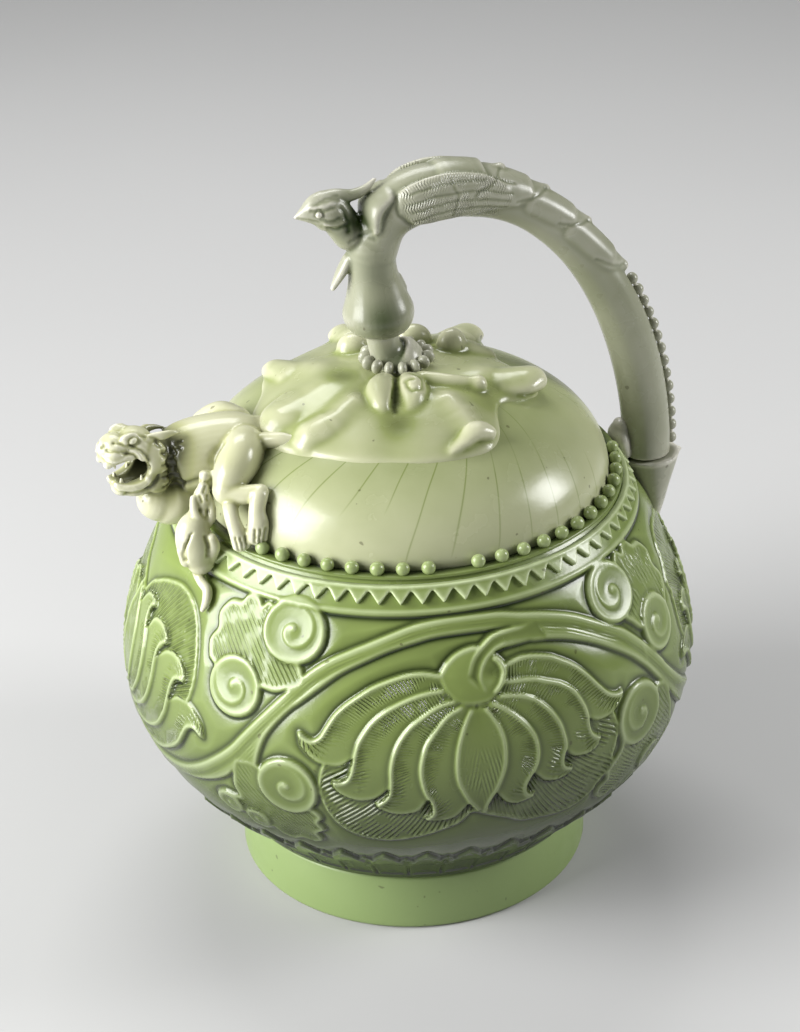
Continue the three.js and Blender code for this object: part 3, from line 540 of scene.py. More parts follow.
def laid_on(strokes, place):
    """The strokes, with each of their spots turned into a place in the pot's frame."""
    return [([place(*spot) for spot in spots], height, half) for spots, height, half in strokes]


def lump(points, mesh):
    return points, [tuple(face.vertices) for face in mesh.polygons]


def gathered(parts):
    points, faces = [], []
    for part_points, part_faces in parts:
        start = sum(len(p) for p in points)
        points.append(part_points)
        faces.extend(tuple(start + k for k in face) for face in part_faces)
    return np.vstack(points), faces


def evaluated(piece):
    graph = bpy.context.evaluated_depsgraph_get()
    graph.update()
    return bpy.data.meshes.new_from_object(piece.evaluated_get(graph), depsgraph=graph)


def kneaded(name, parts, grain, hollows=(), rounds=3):
    """Joins lumps of clay into one skin whose faces are about `grain` wide, and cuts the hollows out."""
    block = placed(name + "_block", mesh_from(name, *gathered(parts)))

    def knead():
        remesh = block.modifiers.new("knead", "REMESH")
        remesh.mode = "VOXEL"
        remesh.voxel_size = grain

    knead()
    tools = []
    for k, hollow in enumerate(hollows):
        tools.append(placed(f"{name}_tool_{k}", mesh_from("tool", *hollow)))
        scoop = block.modifiers.new("scoop", "BOOLEAN")
        scoop.operation = "DIFFERENCE"
        scoop.solver = "MANIFOLD"
        scoop.object = tools[-1]
    if tools:
        knead()
    clay = Clay(name, evaluated(block))
    for made in [block, *tools]:
        bpy.data.objects.remove(made)
    clay.relax(rounds)
    return clay


# The pot's outline

def turned_belly(height):
    """Outside radius of the thrown belly, with its flare just over the foot."""
    height = np.asarray(height, float)
    flare_top = foot_height + 9
    reach = np.where(height < belly_height, lower_belly, upper_belly)
    fullness = np.where(height < belly_height, lower_fullness, upper_fullness)
    share = np.minimum(np.abs((height - belly_height) / reach), 1) ** fullness
    curve = belly_radius * (1 - share) ** (1 / fullness)
    flare_share = abs((flare_top - belly_height) / lower_belly) ** lower_fullness
    flare_heights = foot_height + np.array([0, 1.2, 3.6, 6.2, 9])
    flare = foot_top + np.array([0.3, 1.8, 3.4, 5.5, 0])
    flare[-1] = belly_radius * (1 - flare_share) ** (1 / lower_fullness)
    return np.where(height < flare_top, np.interp(height, flare_heights, flare), curve)


def lid_height(radius):
    share = np.minimum(1, (np.asarray(radius, float) / lid_radius) ** lid_fullness)
    return shoulder_height + lid_rise * (1 - share) ** (1 / lid_fullness)


def lid_arc(radius, rise, steps):
    angles = np.linspace(0, np.pi / 2, steps + 1)
    out = radius * np.cos(angles).clip(0) ** (2 / lid_fullness)
    out[-1] = 0
    return np.column_stack([out, shoulder_height + rise * np.sin(angles) ** (2 / lid_fullness)])


def spun(name, profile, columns):
    """Turns a closed outline of (radius, height) pairs round the pot's axis."""
    profile = np.asarray(profile, float)
    turns = np.linspace(0, 2 * np.pi, columns, endpoint=False)
    points = [(r * math.sin(a), -r * math.cos(a), z) for r, z in profile for a in turns]
    return Clay(name, mesh_from(name, points, ring_faces(len(profile), columns, closed=True)))


def rounded(profile, radius, steps=3):
    """Rounds the corners of a closed outline."""
    profile = np.asarray(profile, float)
    places = []
    for k, corner in enumerate(profile):
        before, after = profile[k - 1] - corner, profile[(k + 1) % len(profile)] - corner
        cut = min(radius, 0.45 * np.linalg.norm(before), 0.45 * np.linalg.norm(after))
        start = corner + cut * before / np.linalg.norm(before)
        end = corner + cut * after / np.linalg.norm(after)
        for t in np.linspace(0, 1, steps + 1):
            places.append((1 - t) ** 2 * start + 2 * t * (1 - t) * corner + t**2 * end)
    return np.array(places)


# Carving. Strokes and outlines are (turn, height) pairs: degrees from the front, and millimetres up.

class Relief:
    """The carved depth at every place of the belly's grid, in millimetres, with the combing of the leaves."""

    def __init__(self, turns, rises):
        self.turns, self.rises = turns, rises
        self.across = turned_belly(rises) * math.pi / 180
        slope = (turned_belly(rises + 0.3) - turned_belly(rises - 0.3)) / 0.6
        self.along = np.sqrt(1 + slope**2)
        size = (len(rises), len(turns))
        self.depth = np.zeros(size)
        self.outside = np.full(size, 9.0)
        self.comb = np.zeros(size)
        self.combed = np.zeros(size)
        self.shapes = []

    def add(self, copy, outline, model, **strokes):
        """Keeps a shape for later: its outline, the strokes along it, and the function that models it."""
        window = Window(self, copy, np.asarray(outline, float), margin=6)
        if window.empty:
            return
        distance = window.signed(outline)
        window.into(self.outside, np.minimum(window.of(self.outside), distance))
        self.shapes.append((window, distance, model, strokes))

    def cut_ground(self):
        """Cuts the ground away beside the shapes, deepest along their edges."""
        away = self.outside.clip(0)
        soft = smooth_step(away, -0.1, 0.8)
        self.depth -= soft * (0.3 + 0.75 * np.exp(-away / 2.2))

    def model_shapes(self):
        for window, distance, model, strokes in self.shapes:
            level, overlap, comb, combed = model(window, distance, **strokes)
            cover = smooth_step(distance, overlap + 0.42, overlap - 0.38)
            for field, value in ((self.depth, level), (self.combed, combed)):
                window.into(field, window.of(field) * (1 - cover) + value * cover)
            window.into(self.comb, np.where(cover > 0.5, comb, window.of(self.comb)))


class Window:
    """The part of the grid round one shape, in the turns and heights of the shape's own drawing."""

    def __init__(self, relief, copy, outline, margin):
        turn_sign, turn_shift, rise_sign, rise_shift = copy
        low, high = outline.min(axis=0), outline.max(axis=0)
        middle = 0.5 * (low[0] + high[0])
        turns = turn_sign * relief.turns + turn_shift
        turns = (turns - middle + 180) % 360 - 180 + middle
        rises = rise_sign * relief.rises + rise_shift
        side = margin / 0.8
        self.columns = np.flatnonzero((turns > low[0] - side) & (turns < high[0] + side))
        self.rows = np.flatnonzero((rises > low[1] - margin) & (rises < high[1] + margin))
        self.empty = not (len(self.columns) and len(self.rows))
        self.x, self.z = turns[self.columns], rises[self.rows]
        self.across, self.along = relief.across[self.rows, None], relief.along[self.rows, None]
        self.grid = np.ix_(self.rows, self.columns)

    def of(self, field):
        return field[self.grid]

    def into(self, field, values):
        field[self.grid] = values

    def offset(self, spot):
        """Millimetres from a spot, across and up the belly."""
        return (self.x[None, :] - spot[0]) * self.across, (self.z[:, None] - spot[1]) * self.along

    def near(self, stroke):
        """Distance to a stroke, and the length of the stroke before its nearest point."""
        best = np.full((len(self.z), len(self.x)), 99.0)
        run, before = np.zeros_like(best), 0.0
        for start, end in zip(stroke[:-1], stroke[1:]):
            right, up = self.offset(start)
            wide, high = (end[0] - start[0]) * self.across, (end[1] - start[1]) * self.along
            length = wide**2 + high**2 + 1e-9
            share = ((right * wide + up * high) / length).clip(0, 1)
            distance = np.hypot(right - share * wide, up - share * high)
            closer = distance < best
            best = np.where(closer, distance, best)
            run = np.where(closer, before + share * np.sqrt(length), run)
            before += float(np.sqrt(length).mean())
        return best, run

    def signed(self, outline):
        """Distance to a closed outline, less than zero inside it."""
        ring = [*outline, outline[0]]
        distance = self.near(ring)[0]
        inside = np.zeros(distance.shape, bool)
        for start, end in zip(ring[:-1], ring[1:]):
            crossed = (start[1] > self.z) != (end[1] > self.z)
            if start[1] == end[1]:
                continue
            edge = start[0] + (self.z - start[1]) / (end[1] - start[1]) * (end[0] - start[0])
            inside ^= crossed[:, None] & (self.x[None, :] < edge[:, None])
        return np.where(inside, -distance, distance)


def smooth_step(value, start, end):
    share = ((value - start) / (end - start)).clip(0, 1)
    return share * share * (3 - 2 * share)


def bent(stroke, steps=4):
    """A smooth line through the points of a stroke."""
    return through(stroke, np.linspace(0, 1, steps * (len(stroke) - 1) + 1))


def bead(distance, height, half):
    return height * np.exp(-((distance / half) ** 2))


# Peony, drawn hanging: nine petals under a bud, over a combed leaf

left_petals = [
    ([(-9.9, 86.9), (-13.1, 87.5), (-16.3, 87.3), (-19.5, 86.4), (-23.2, 84.8), (-26, 82.8), (-28.4, 80.8),
      (-30.4, 78.5), (-32, 75.5), (-33, 73.3), (-34.2, 72), (-35.5, 71.8), (-37.5, 73)],
     [(-37.4, 72.2), (-37.1, 70.5), (-36, 68.8), (-34.4, 67.5), (-32.8, 66.8), (-30, 66.6), (-28.4, 67.5),
      (-27.3, 68.8)]),
    ([(-9.7, 83.8), (-12.3, 83.5), (-15.1, 82.8), (-18, 81.5), (-20.8, 79.8), (-23.2, 77.5), (-24.8, 75),
      (-26, 72.3), (-26.6, 69.5), (-27, 67), (-27.4, 64.8), (-28.2, 63), (-29.4, 62.3), (-30.6, 62.3)],
     [(-30.8, 61.3), (-30, 59.8), (-28.4, 58.5), (-26, 57.8), (-23.6, 58.3), (-22, 59.5), (-20.6, 61.3)]),
    ([(-7.7, 81.3), (-9.9, 80.8), (-11.9, 79.8), (-13.9, 78.3), (-16, 76.5), (-17.6, 74.3), (-18.8, 71.8),
      (-19.6, 69), (-20, 66), (-20, 63), (-20.2, 60.5), (-20.8, 58.8), (-21.8, 57.5), (-22.6, 56.8)],
     [(-22.4, 55.8), (-21.2, 54.8), (-19.2, 54), (-17.2, 54), (-15.1, 54.8), (-13.9, 57)]),
    ([(-6.5, 79.7), (-8.7, 78.5), (-10.3, 76.8), (-11.9, 74.5), (-13.3, 72), (-14.1, 69), (-14.5, 66),
      (-14.3, 63), (-13.7, 60), (-12.7, 57.5), (-12.3, 55.3), (-12.5, 53.5), (-13.7, 52.2)],
     [(-13, 51.6), (-11.9, 51.3), (-9.9, 51.4), (-8, 52.4), (-5.6, 56)]),
]
right_petals = [
    ([(3.2, 87), (8, 87.8), (13.2, 86.5), (16, 84.8), (18.8, 82.5), (21.2, 79.5), (23.2, 76.3), (25.3, 73.3),
      (27.7, 71.8), (29, 72)],
     [(28.6, 70.3), (27, 69), (24.5, 68), (22, 68.3), (19.9, 69.8)]),
    ([(2.6, 83.8), (6, 83.4), (9.2, 82.8), (12, 81.5), (14.8, 80), (17.2, 77.5), (18.6, 74.5), (19.4, 71.5),
      (19.6, 68), (20, 65.8), (21.2, 64.3), (22, 64)],
     [(21.6, 62), (19.8, 61), (18, 61), (15.6, 62), (13.9, 64.5)]),
    ([(2, 81), (5.2, 80.3), (8, 79), (10, 77), (12, 74), (13.2, 71), (13.8, 68), (14, 65.5), (13.4, 63),
      (13.2, 61.3), (13.6, 59.8), (15.2, 58.8)],
     [(14.8, 57.4), (12.8, 56.8), (11.2, 57), (9.2, 58), (7.2, 60.8)]),
    ([(0.4, 79.5), (2.4, 78), (4.4, 75.8), (6.2, 73.3), (7.4, 70.8), (8, 68), (8, 65), (7.4, 62.5), (6.2, 60),
      (5.4, 58), (5.4, 56.3), (6, 55), (7.1, 54.5)],
     [(6.3, 53.6), (4, 53), (1.8, 54.2), (-0.3, 57.6)]),
]
middle_petal = (
    [(-4.5, 78.8), (-5.5, 76.8), (-6.5, 74), (-7.3, 71), (-7.7, 68), (-7.8, 65), (-7.5, 62), (-6.5, 58.8),
     (-5.3, 55.8), (-4, 53.5)],
    [(-1.3, 78.8), (-0.1, 76.5), (0.9, 74), (1.5, 71), (1.6, 68), (1.3, 64.5), (0.5, 61.5), (-0.5, 58.5),
     (-1.5, 56), (-2.2, 54), (-2.3, 52.5)],
)
peony_leaf = [
    (-30, 72), (-32.2, 66.8), (-33, 64), (-33.4, 60.5), (-33, 57), (-32.2, 53.5), (-31.2, 51), (-30.2, 49),
    (-28, 46.5), (-25, 44.8), (-21, 44.2), (-17, 45), (-13, 46.5), (-10, 48.2), (-7.5, 49.8), (-5, 53),
    (-2, 51.5), (0.4, 50), (2.8, 48.5), (5.2, 46.5), (8, 45.5), (10.8, 45), (14, 44.2), (18, 44.4),
    (21.4, 46.8), (22.6, 49.5), (24.4, 51.6), (25.9, 54), (25.4, 56), (25.9, 58), (26.5, 61.5), (26.6, 65),
    (25.7, 68), (22, 71), (0, 78), (-20, 74),
]
bud = [
    (-9.5, 87.5), (-9.7, 86.3), (-8.7, 83.5), (-6.7, 81.2), (-3.5, 80.3), (-0.7, 80.6), (1.3, 82),
    (2.8, 84.2), (3.3, 86.5), (2.7, 88.4), (1, 90.2), (-1.1, 91.5), (-3.5, 91.6), (-6.3, 90.7), (-8.3, 89.2),
]
stem_outer = [
    (12, 94.2), (8.8, 93.7), (5.8, 93.8), (2.8, 93.5), (0.9, 92.7), (-1.5, 90.9), (-3.1, 89), (-4.1, 86.5)]
stem_inner = [(4, 90.9), (1.7, 90.3), (-0.3, 88.8), (-1.5, 86.8), (-1.9, 84.8), (-1.2, 82.8)]
hook_end = [(1.7, 89), (2.7, 87.8), (3.1, 85.8), (2.3, 83.8), (0.9, 82)]

# Vine, its edges drawn over half a turn
vine_top = [
    (-142, 79.5), (-138, 73.5), (-135, 69), (-132, 65), (-128, 60.5), (-124, 57), (-120, 54), (-114, 50.5),
    (-106, 47.5), (-98, 46), (-93, 46), (-82, 46.8), (-74, 48.5), (-68.4, 50.5), (-64.4, 52.8), (-60.3, 56),
    (-56.3, 60), (-52.3, 64.7), (-49.3, 69.4), (-45.9, 74.5), (-41.9, 80), (-37.4, 85.6), (-33, 89.3),
    (-28, 91.9), (-25, 93.2), (-20, 95.2), (-15, 96.8), (-10, 97.6), (-4, 97.8), (4, 97.4), (9, 96.3),
    (14, 95.2), (18, 94), (22, 92.4), (26, 90), (30, 87.2), (34, 84.2), (38, 79.5), (41, 75.4), (44, 70.8),
]
vine_foot = [
    (44, 64), (40.9, 68.5), (38, 73), (34, 78), (30, 81.7), (26, 84.8), (22, 87.2), (18, 89), (14, 90.2),
    (10.6, 90.9), (9, 92.2), (7.4, 94.2), (4, 94.8), (-4, 95.1), (-10, 94.9), (-14.7, 94), (-20, 92.5),
    (-25.2, 90.2), (-30, 87.5), (-34, 84), (-38, 80), (-40, 78), (-42.8, 74), (-44.8, 70), (-46, 65.5),
    (-46.9, 61.5), (-50.7, 60.5), (-53.1, 57), (-56.3, 54), (-60, 51.5), (-63.6, 49.5), (-66, 48.6),
    (-72, 46), (-80, 43.6), (-93, 42), (-98, 42), (-106, 43.2), (-114, 45.5), (-120, 48), (-124, 50.5),
    (-128, 54), (-132, 58.5), (-136, 64), (-142, 73),
]

# Leaves in the bends of the vine, and the scrolls on them: centre, radius, turn of the outer end, and hand
scroll_leaves = [
    [(-60.4, 83.6), (-61.4, 87), (-60, 90), (-61, 93), (-59, 96), (-56, 96.6), (-54.6, 98.5), (-51.8, 98.4),
     (-50.4, 97), (-48.8, 98.4), (-46.5, 97), (-42, 92), (-37.6, 84.6), (-41.5, 82), (-43.9, 81.2),
     (-47.5, 81.2), (-52, 79)],
    [(-51, 62), (-51.6, 58), (-52, 54), (-51.2, 51), (-52.6, 50.4), (-55, 50.6), (-57.4, 48.6), (-57.8, 46.5),
     (-56, 45.4), (-53, 46.3), (-51.2, 45), (-50, 41.8), (-47.3, 41), (-45.4, 42.8), (-44, 40.6),
     (-41.5, 39.6), (-39.2, 41), (-36.6, 40.4), (-34.8, 42), (-35.6, 44.4), (-33.8, 46.2), (-34.8, 48.6),
     (-33.8, 50.6), (-35.4, 53), (-40, 58), (-46.5, 62.5)],
    [(27.3, 62), (28, 57.5), (26.8, 54.8), (24.8, 51.8), (25.2, 48.8), (23.4, 46.6), (24, 43.6), (26.6, 41.6),
     (28.8, 42.6), (31, 40.6), (34, 41), (35.8, 43), (38, 41.4), (41, 43), (43.6, 42.6), (46.5, 46), (49, 50),
     (47, 54), (45.2, 60), (41, 67)],
    [(31, 88), (36, 86), (40, 81.5), (42, 83), (46, 82), (50, 80), (54, 83.8), (55, 87), (53.6, 90),
     (54.6, 93), (52.6, 96), (49.6, 96.6), (48, 98.4), (45.4, 98.4), (44, 97), (42.4, 98.4), (40, 97)],
]
scrolls = [
    ((-40, 58.4), 7.4, -130, 1), ((-41.4, 94.2), 7.6, -130, 1), ((-52.8, 79.5), 7.1, 60, -1),
    ((-54.4, 47.2), 3.4, -60, 1), ((-48.4, 44.6), 3.1, -60, 1), ((33.6, 63.3), 7.9, 130, -1),
    ((34.7, 92.6), 7.3, 130, -1), ((45.8, 79.9), 6.8, -60, 1), ((39.5, 47), 4.2, 60, -1),
]


# The models. Each is given the window and the distance from the shape's outline, less than zero inside,
# and gives back the depth, how far the shape reaches past its outline, the combing and its strength.

def model_petal(window, distance, rim, base):
    edge, run = window.near(rim)
    inside = (-distance).clip(0)
    level = base - 0.42 * (1 - np.exp(-edge / 1.7)) + bead(edge, 0.32, 0.36 + 0.01 * run)
    level += 0.14 * np.exp(-inside / 0.8)
    combed = smooth_step(edge, 0.5, 1.0) * smooth_step(edge, 5.0, 2.4)
    return level, 0.25, (run + 0.4 * edge) / 0.85, combed


def model_middle_petal(window, distance, rims):
    edge = np.minimum(*(window.near(rim)[0] for rim in rims))
    level = 0.1 - 0.4 * (1 - np.exp(-edge / 1.7)) + bead(edge, 0.3, 0.38)
    aside, up = window.offset((-3.2, 70))
    combed = 0.6 * smooth_step(edge, 0.6, 1.6) * smooth_step(up, 2, -6)
    return level, 0.25, np.abs(aside) / 0.9 + 0.25 * up, combed


def model_peony_leaf(window, distance):
    right, up = window.offset((-3.4, 84))
    inside = (-distance).clip(0)
    level = -0.82 + 0.42 * np.exp(-inside / 1.3)
    fan = np.arctan2(right, -up)
    scallop = 0.2 * np.cos(2 * np.pi * fan * 17)
    return level, scallop, fan * 34, 1.3 * smooth_step(inside, 0.1, 0.8)


def model_bud(window, distance):
    inside = (-distance).clip(0)
    level = -0.05 + 0.55 * (1 - np.exp(-inside / 2.2)) + bead(inside, 0.2, 0.5)
    right, up = window.offset((0.5, 86.3))
    level -= bead(np.hypot(right, up), 0.5, 1.9)
    return level, 0.15, 0 * level, 0 * level


def model_stem(window, distance, lines):
    outer, run = window.near(lines[0])
    inner, _ = window.near(lines[1])
    rising = smooth_step(run, 1, 7)
    level = 0.3 * rising - 0.3 * (1 - np.exp(-np.minimum(outer, inner) / 0.9))
    level += rising * bead(outer, 0.3, 0.5) + bead(inner, 0.26, 0.45)
    return level, 0.2, 0 * level, 0 * level


def model_hook(window, distance, line):
    edge, _ = window.near(line)
    return 0.2 + bead(edge, 0.6, 0.75), 0.1, 0 * edge, 0 * edge


def model_vine(window, distance, edges):
    inside = (-distance).clip(0)
    top, _ = window.near(edges[0])
    level = 0.02 - 0.12 * (1 - np.exp(-inside / 1.1)) + bead(top - 0.6, 0.1, 1.1)
    level -= bead(top - 2.6, 0.12, 0.5)
    return level, 0.1, top / 0.8, 0.12 * smooth_step(inside, 0.6, 1.2)


def model_scroll_leaf(window, distance):
    right, up = window.offset((-46, 70))
    inside = (-distance).clip(0)
    level = -0.34 + 0.34 * np.exp(-inside / 1.2) + bead(inside, 0.12, 0.5)
    return level, 0.0, (0.8 * right + 0.6 * up) / 1.15, 0.6 * smooth_step(inside, 0.8, 1.6)


def model_scroll(window, distance, scroll):
    centre, radius, start, hand = scroll
    right, up = window.offset(centre)
    reach = np.hypot(right, up)
    angle = hand * (np.degrees(np.arctan2(right, up)) - start)
    pitch = radius / (1.55 if radius > 5 else 1.1)
    turned = (angle / 360) % 1
    inward = (radius - reach) / pitch
    outermost = inward < turned
    share = np.where(outermost, inward, (inward - turned) % 1)
    to_next = np.where(outermost, turned - inward, 1 - share) * pitch
    level = 0.16 - 0.55 * share * smooth_step(to_next, 0, 0.5) + bead(to_next - 0.6, 0.1, 0.8)
    level += bead((-distance).clip(0) - 0.5, 0.1, 0.9) + bead(reach, 0.3, 1.4)
    return level, 0.15, 0 * level, 0 * level


def model_lotus(window, distance, low):
    inside = (-distance).clip(0)
    level = low - 0.4 * (1 - np.exp(-inside / 1.2)) + bead(inside, 0.14, 0.5)
    level += bead(inside - 2.1, 0.12, 0.4)
    return level, 0.1, 0 * level, 0 * level


def circle(centre, radius):
    turns = np.linspace(0, 2 * np.pi, 28, endpoint=False)
    degree = float(turned_belly(centre[1])) * math.pi / 180
    slope = float(turned_belly(centre[1] + 0.5) - turned_belly(centre[1] - 0.5))
    wide, high = radius / degree, radius / math.hypot(1, slope)
    return [(centre[0] + wide * math.sin(t), centre[1] + high * math.cos(t)) for t in turns]


def lay_peony(relief, copy):
    relief.add(copy, bent(peony_leaf), model_peony_leaf)
    for k in range(4):
        for heart, (rim, under) in ((-3.4, left_petals[k]), (-3, right_petals[k])):
            line = bent(rim)
            outline = np.vstack([line, bent(under), [(heart, 82)]])
            relief.add(copy, outline, model_petal, rim=line, base=0.03 * k)
    rims = [bent(side) for side in middle_petal]
    relief.add(copy, np.vstack([rims[0], rims[1][::-1]]), model_middle_petal, rims=rims)
    relief.add(copy, bent(bud), model_bud)
    outer, inner = bent(stem_outer), bent(stem_inner)
    edge = np.vstack([outer, inner[::-1], [(10, 91), (14, 90.4)]])
    relief.add(copy, edge, model_stem, lines=(outer, inner))
    hook = bent(hook_end)
    thick = np.vstack([hook + (0.5, 0), hook[::-1] - (0.5, 0)])
    relief.add(copy, thick, model_hook, line=hook)


def carve_belly(turns, rises):
    """Carves the peony scroll, and the ring of lotus petals over the foot."""
    relief = Relief(turns, rises)
    petals, ground_foot, ground_top = 38, 19, 99.4
    for row, (top, low) in enumerate(((33.4, -0.35), (36, 0.0))):
        for i in range(petals):
            turn = (i + 0.5 * row + 0.1) * 360 / petals
            half = 0.47 * 360 / petals
            shape = [(0, top), (0.42, top - 2.2), (0.8, top - 5.4), (1, top - 9.5), (0.92, 18.5)]
            side = np.array([(half * x, z) for x, z in shape])
            outline = np.vstack([side, side[::-1] * (-1, 1)]) + (turn, 0)
            relief.add((1, 0, 1, 0), outline, model_lotus, low=low)
    for shift in (0, 180):
        here = (1, shift, 1, 0)
        upright = (-1, -97 - shift, -1, 137)
        edges = bent(vine_top), bent(vine_foot)
        relief.add(here, np.vstack(edges), model_vine, edges=edges)
        for leaf in scroll_leaves:
            relief.add(here, bent([*leaf, leaf[0]], 3)[:-1], model_scroll_leaf)
        for scroll in scrolls:
            relief.add(here, circle(scroll[0], scroll[1]), model_scroll, scroll=scroll)
        lay_peony(relief, here)
        lay_peony(relief, upright)
    rises = rises[:, None]
    relief.outside = np.minimum(relief.outside, np.abs(rises - ground_top) - 0.3)
    relief.outside = np.where((rises < ground_foot) | (rises > ground_top), 0, relief.outside)
    relief.cut_ground()
    relief.model_shapes()
    relief.depth += bead(rises - ground_top, 0.3, 0.4)
    return relief


def column_turns():
    """Turns of the belly's columns, closer together on the side that the camera sees."""
    left, right = -98, 66
    front = np.linspace(left, right, 2 * front_columns + 1)
    back = np.linspace(right, left + 360, 2 * back_columns + 1)
    return np.concatenate([front, back[1:-1]])


def ring_heights():
    """Heights of the belly's rings, evenly spaced along its outline."""
    heights = np.linspace(foot_height, shoulder_height - joint_line, 3000)
    steps = np.hypot(np.diff(turned_belly(heights)), np.diff(heights))
    run = np.concatenate([[0], np.cumsum(steps)])
    return np.interp(np.linspace(0, run[-1], belly_rings), run, heights)


def blurred(field, rounds, shares):
    """Evens a field out over the grid, which closes on itself round the pot."""
    field = field.copy()
    for _ in range(rounds):
        inner = field[2:] + field[:-2] - 2 * field[1:-1]
        around = np.roll(field, 1, axis=1) + np.roll(field, -1, axis=1) - 2 * field
        field[1:-1] += 0.24 * inner
        field += 0.24 * shares * around
    return field


def carved_skin():
    """Points, normals and glaze of the carved outside, with shade painted into the glaze, as grids of rings
    and columns.
    """
    mean_radius, ring_pitch = 66, 0.36
    turns, rises = column_turns(), ring_heights()
    relief = carve_belly(turns, rises)
    spacing = np.radians(np.gradient(turns)) * mean_radius
    shares = (ring_pitch / spacing).clip(0, 1) ** 2
    depth = blurred(relief.depth, 1, shares)
    slope = (turned_belly(rises + 0.2) - turned_belly(rises - 0.2)) / 0.4
    lean = np.hypot(1, slope)
    radius = turned_belly(rises)[:, None] + depth / lean[:, None]
    height = rises[:, None] - depth * (slope / lean)[:, None]
    angles = np.radians(turns)
    points = np.dstack([radius * np.sin(angles), -radius * np.cos(angles), height])
    closed = np.concatenate([points[:, -1:], points, points[:, :1]], axis=1)
    normals = np.cross(closed[:, 2:] - closed[:, :-2], np.gradient(points, axis=0))
    normals /= np.linalg.norm(normals, axis=2)[:, :, None]
    hollow = blurred(depth, 12, shares) - depth
    # Painted shade: darker glaze colour on the carved walls that face down, under the ledges, where shadow
    # falls.
    shade_under_ledges = np.gradient(blurred(depth, 1, shares), axis=0) / ring_pitch
    pool_and_shade = 0.5 * (hollow / 0.2).clip(-0.8, 1) + 0.3 * (-depth / 1.1).clip(0, 1)
    pool_and_shade += 0.4 * shade_under_ledges.clip(-0.5, 1)
    # Painted shade: the band of lotus petals over the foot, under the swell of the belly, is made darker.
    pool_and_shade += 0.4 * smooth_step(rises, 37, 30)[:, None]
    glaze_fields = {"pool_and_shade": pool_and_shade.clip(-1, 1), "comb": relief.comb, "combed": relief.combed}
    return turns, rises, points, normals, glaze_fields


def belly_panel(name, skin, columns, glaze):
    """One upright panel of the belly's wall: the carved outside, a plain inside and four flat edges."""
    turns, rises, points, normals, glazes = skin
    rows, wide = len(rises), len(columns)
    outer = points[:, columns]
    skip = 12
    skip_rows = [*range(0, rows - skip // 2, skip), rows - 1]
    skip_columns = [*range(0, wide - skip // 2, skip), wide - 1]
    angles = np.radians(turns[columns][skip_columns])
    inner = []
    for z in rises[skip_rows]:
        radius = float(turned_belly(z)) - wall
        inner.append(np.column_stack([radius * np.sin(angles), -radius * np.cos(angles), 0 * angles + z]))
    inner = np.array(inner)
    index = np.arange(rows * wide).reshape(rows, wide)
    back = rows * wide + np.arange(inner.shape[0] * inner.shape[1]).reshape(inner.shape[:2])
    quads = np.dstack([index[:-1, :-1], index[:-1, 1:], index[1:, 1:], index[1:, :-1]]).reshape(-1, 4)
    lining = np.dstack([back[:-1, :-1], back[1:, :-1], back[1:, 1:], back[:-1, 1:]]).reshape(-1, 4)
    edges = [
        [*index[0, ::-1], *back[0]], [*index[-1], *back[-1, ::-1]],
        [*index[:, 0], *back[::-1, 0]], [*index[::-1, -1], *back[:, -1]],
    ]
    places = np.vstack([outer.reshape(-1, 3), inner.reshape(-1, 3)]) * MM
    faces = [*quads.tolist(), *lining.tolist(), *([int(k) for k in edge] for edge in edges)]
    mesh = bpy.data.meshes.new(name)
    mesh.from_pydata(places.tolist(), [], faces)
    smooth = np.zeros(len(mesh.polygons), bool)
    smooth[:len(quads)] = True
    mesh.polygons.foreach_set("use_smooth", smooth)
    facing = np.zeros((len(mesh.loops), 3))
    facing[:4 * len(quads)] = normals[:, columns].reshape(-1, 3)[quads.ravel()]
    mesh.normals_split_custom_set(facing.tolist())
    for label, field in glazes.items():
        values = np.zeros(len(places))
        values[:rows * wide] = field[:, columns].ravel()
        give_values(mesh, label, values)
    mesh.materials.append(glaze)
    settle(placed(name, mesh), ["lower_bowl", "upper_bowl"])


def belly(glaze):
    skin = carved_skin()
    total = len(skin[0])
    cuts = [0, front_columns, 2 * front_columns, 2 * front_columns + back_columns, total]
    names = "front_left", "front_right", "back_right", "back_left"
    for name, start, end in zip(names, cuts[:-1], cuts[1:]):
        belly_panel(f"belly_{name}", skin, np.arange(start, end + 1) % total, glaze)
    turns = np.linspace(0, 2 * np.pi, 240, endpoint=False)
    blossom = plum_blossom(turns)
    top = foot_height + floor_thickness
    outer = float(turned_belly(foot_height)) - wall - 0.1 + 0 * turns
    rings = [(outer, foot_height), (outer, top), (blossom, top), (blossom, foot_height)]
    places = [np.column_stack([r * np.sin(turns), -r * np.cos(turns), 0 * turns + z]) for r, z in rings]
    floor = Clay("belly_floor", mesh_from("belly_floor", np.vstack(places), ring_faces(4, 240, closed=True)))
    floor.piece(glaze, "body_glaze", ["lower_bowl"], smooth=False)


def plum_blossom(angles):
    """Outline of the filling hole: five round petals about a heart."""
    outline = np.full_like(angles, petal_spread)
    for i in range(5):
        turn = 2 * np.pi * i / 5
        offset = angles - turn
        inside = petal_radius**2 - (petal_spread * np.sin(offset)) ** 2
        reach = petal_spread * np.cos(offset) + np.sqrt(inside.clip(0))
        outline = np.where((inside > 0) & (np.cos(offset) > 0), np.maximum(outline, reach), outline)
    return outline


def mock_lid(glaze):
    outside = lid_arc(lid_radius, lid_rise, 72)
    inside = lid_arc(lid_radius - wall, lid_rise - wall, 16)[::-1]
    outside[-1, 0] = inside[0, 0] = 0.02
    lid = spun("mock_lid_dome", np.vstack([inside, outside]), 240)
    lid.piece(glaze, "lid_glaze", ["mock_lid"])


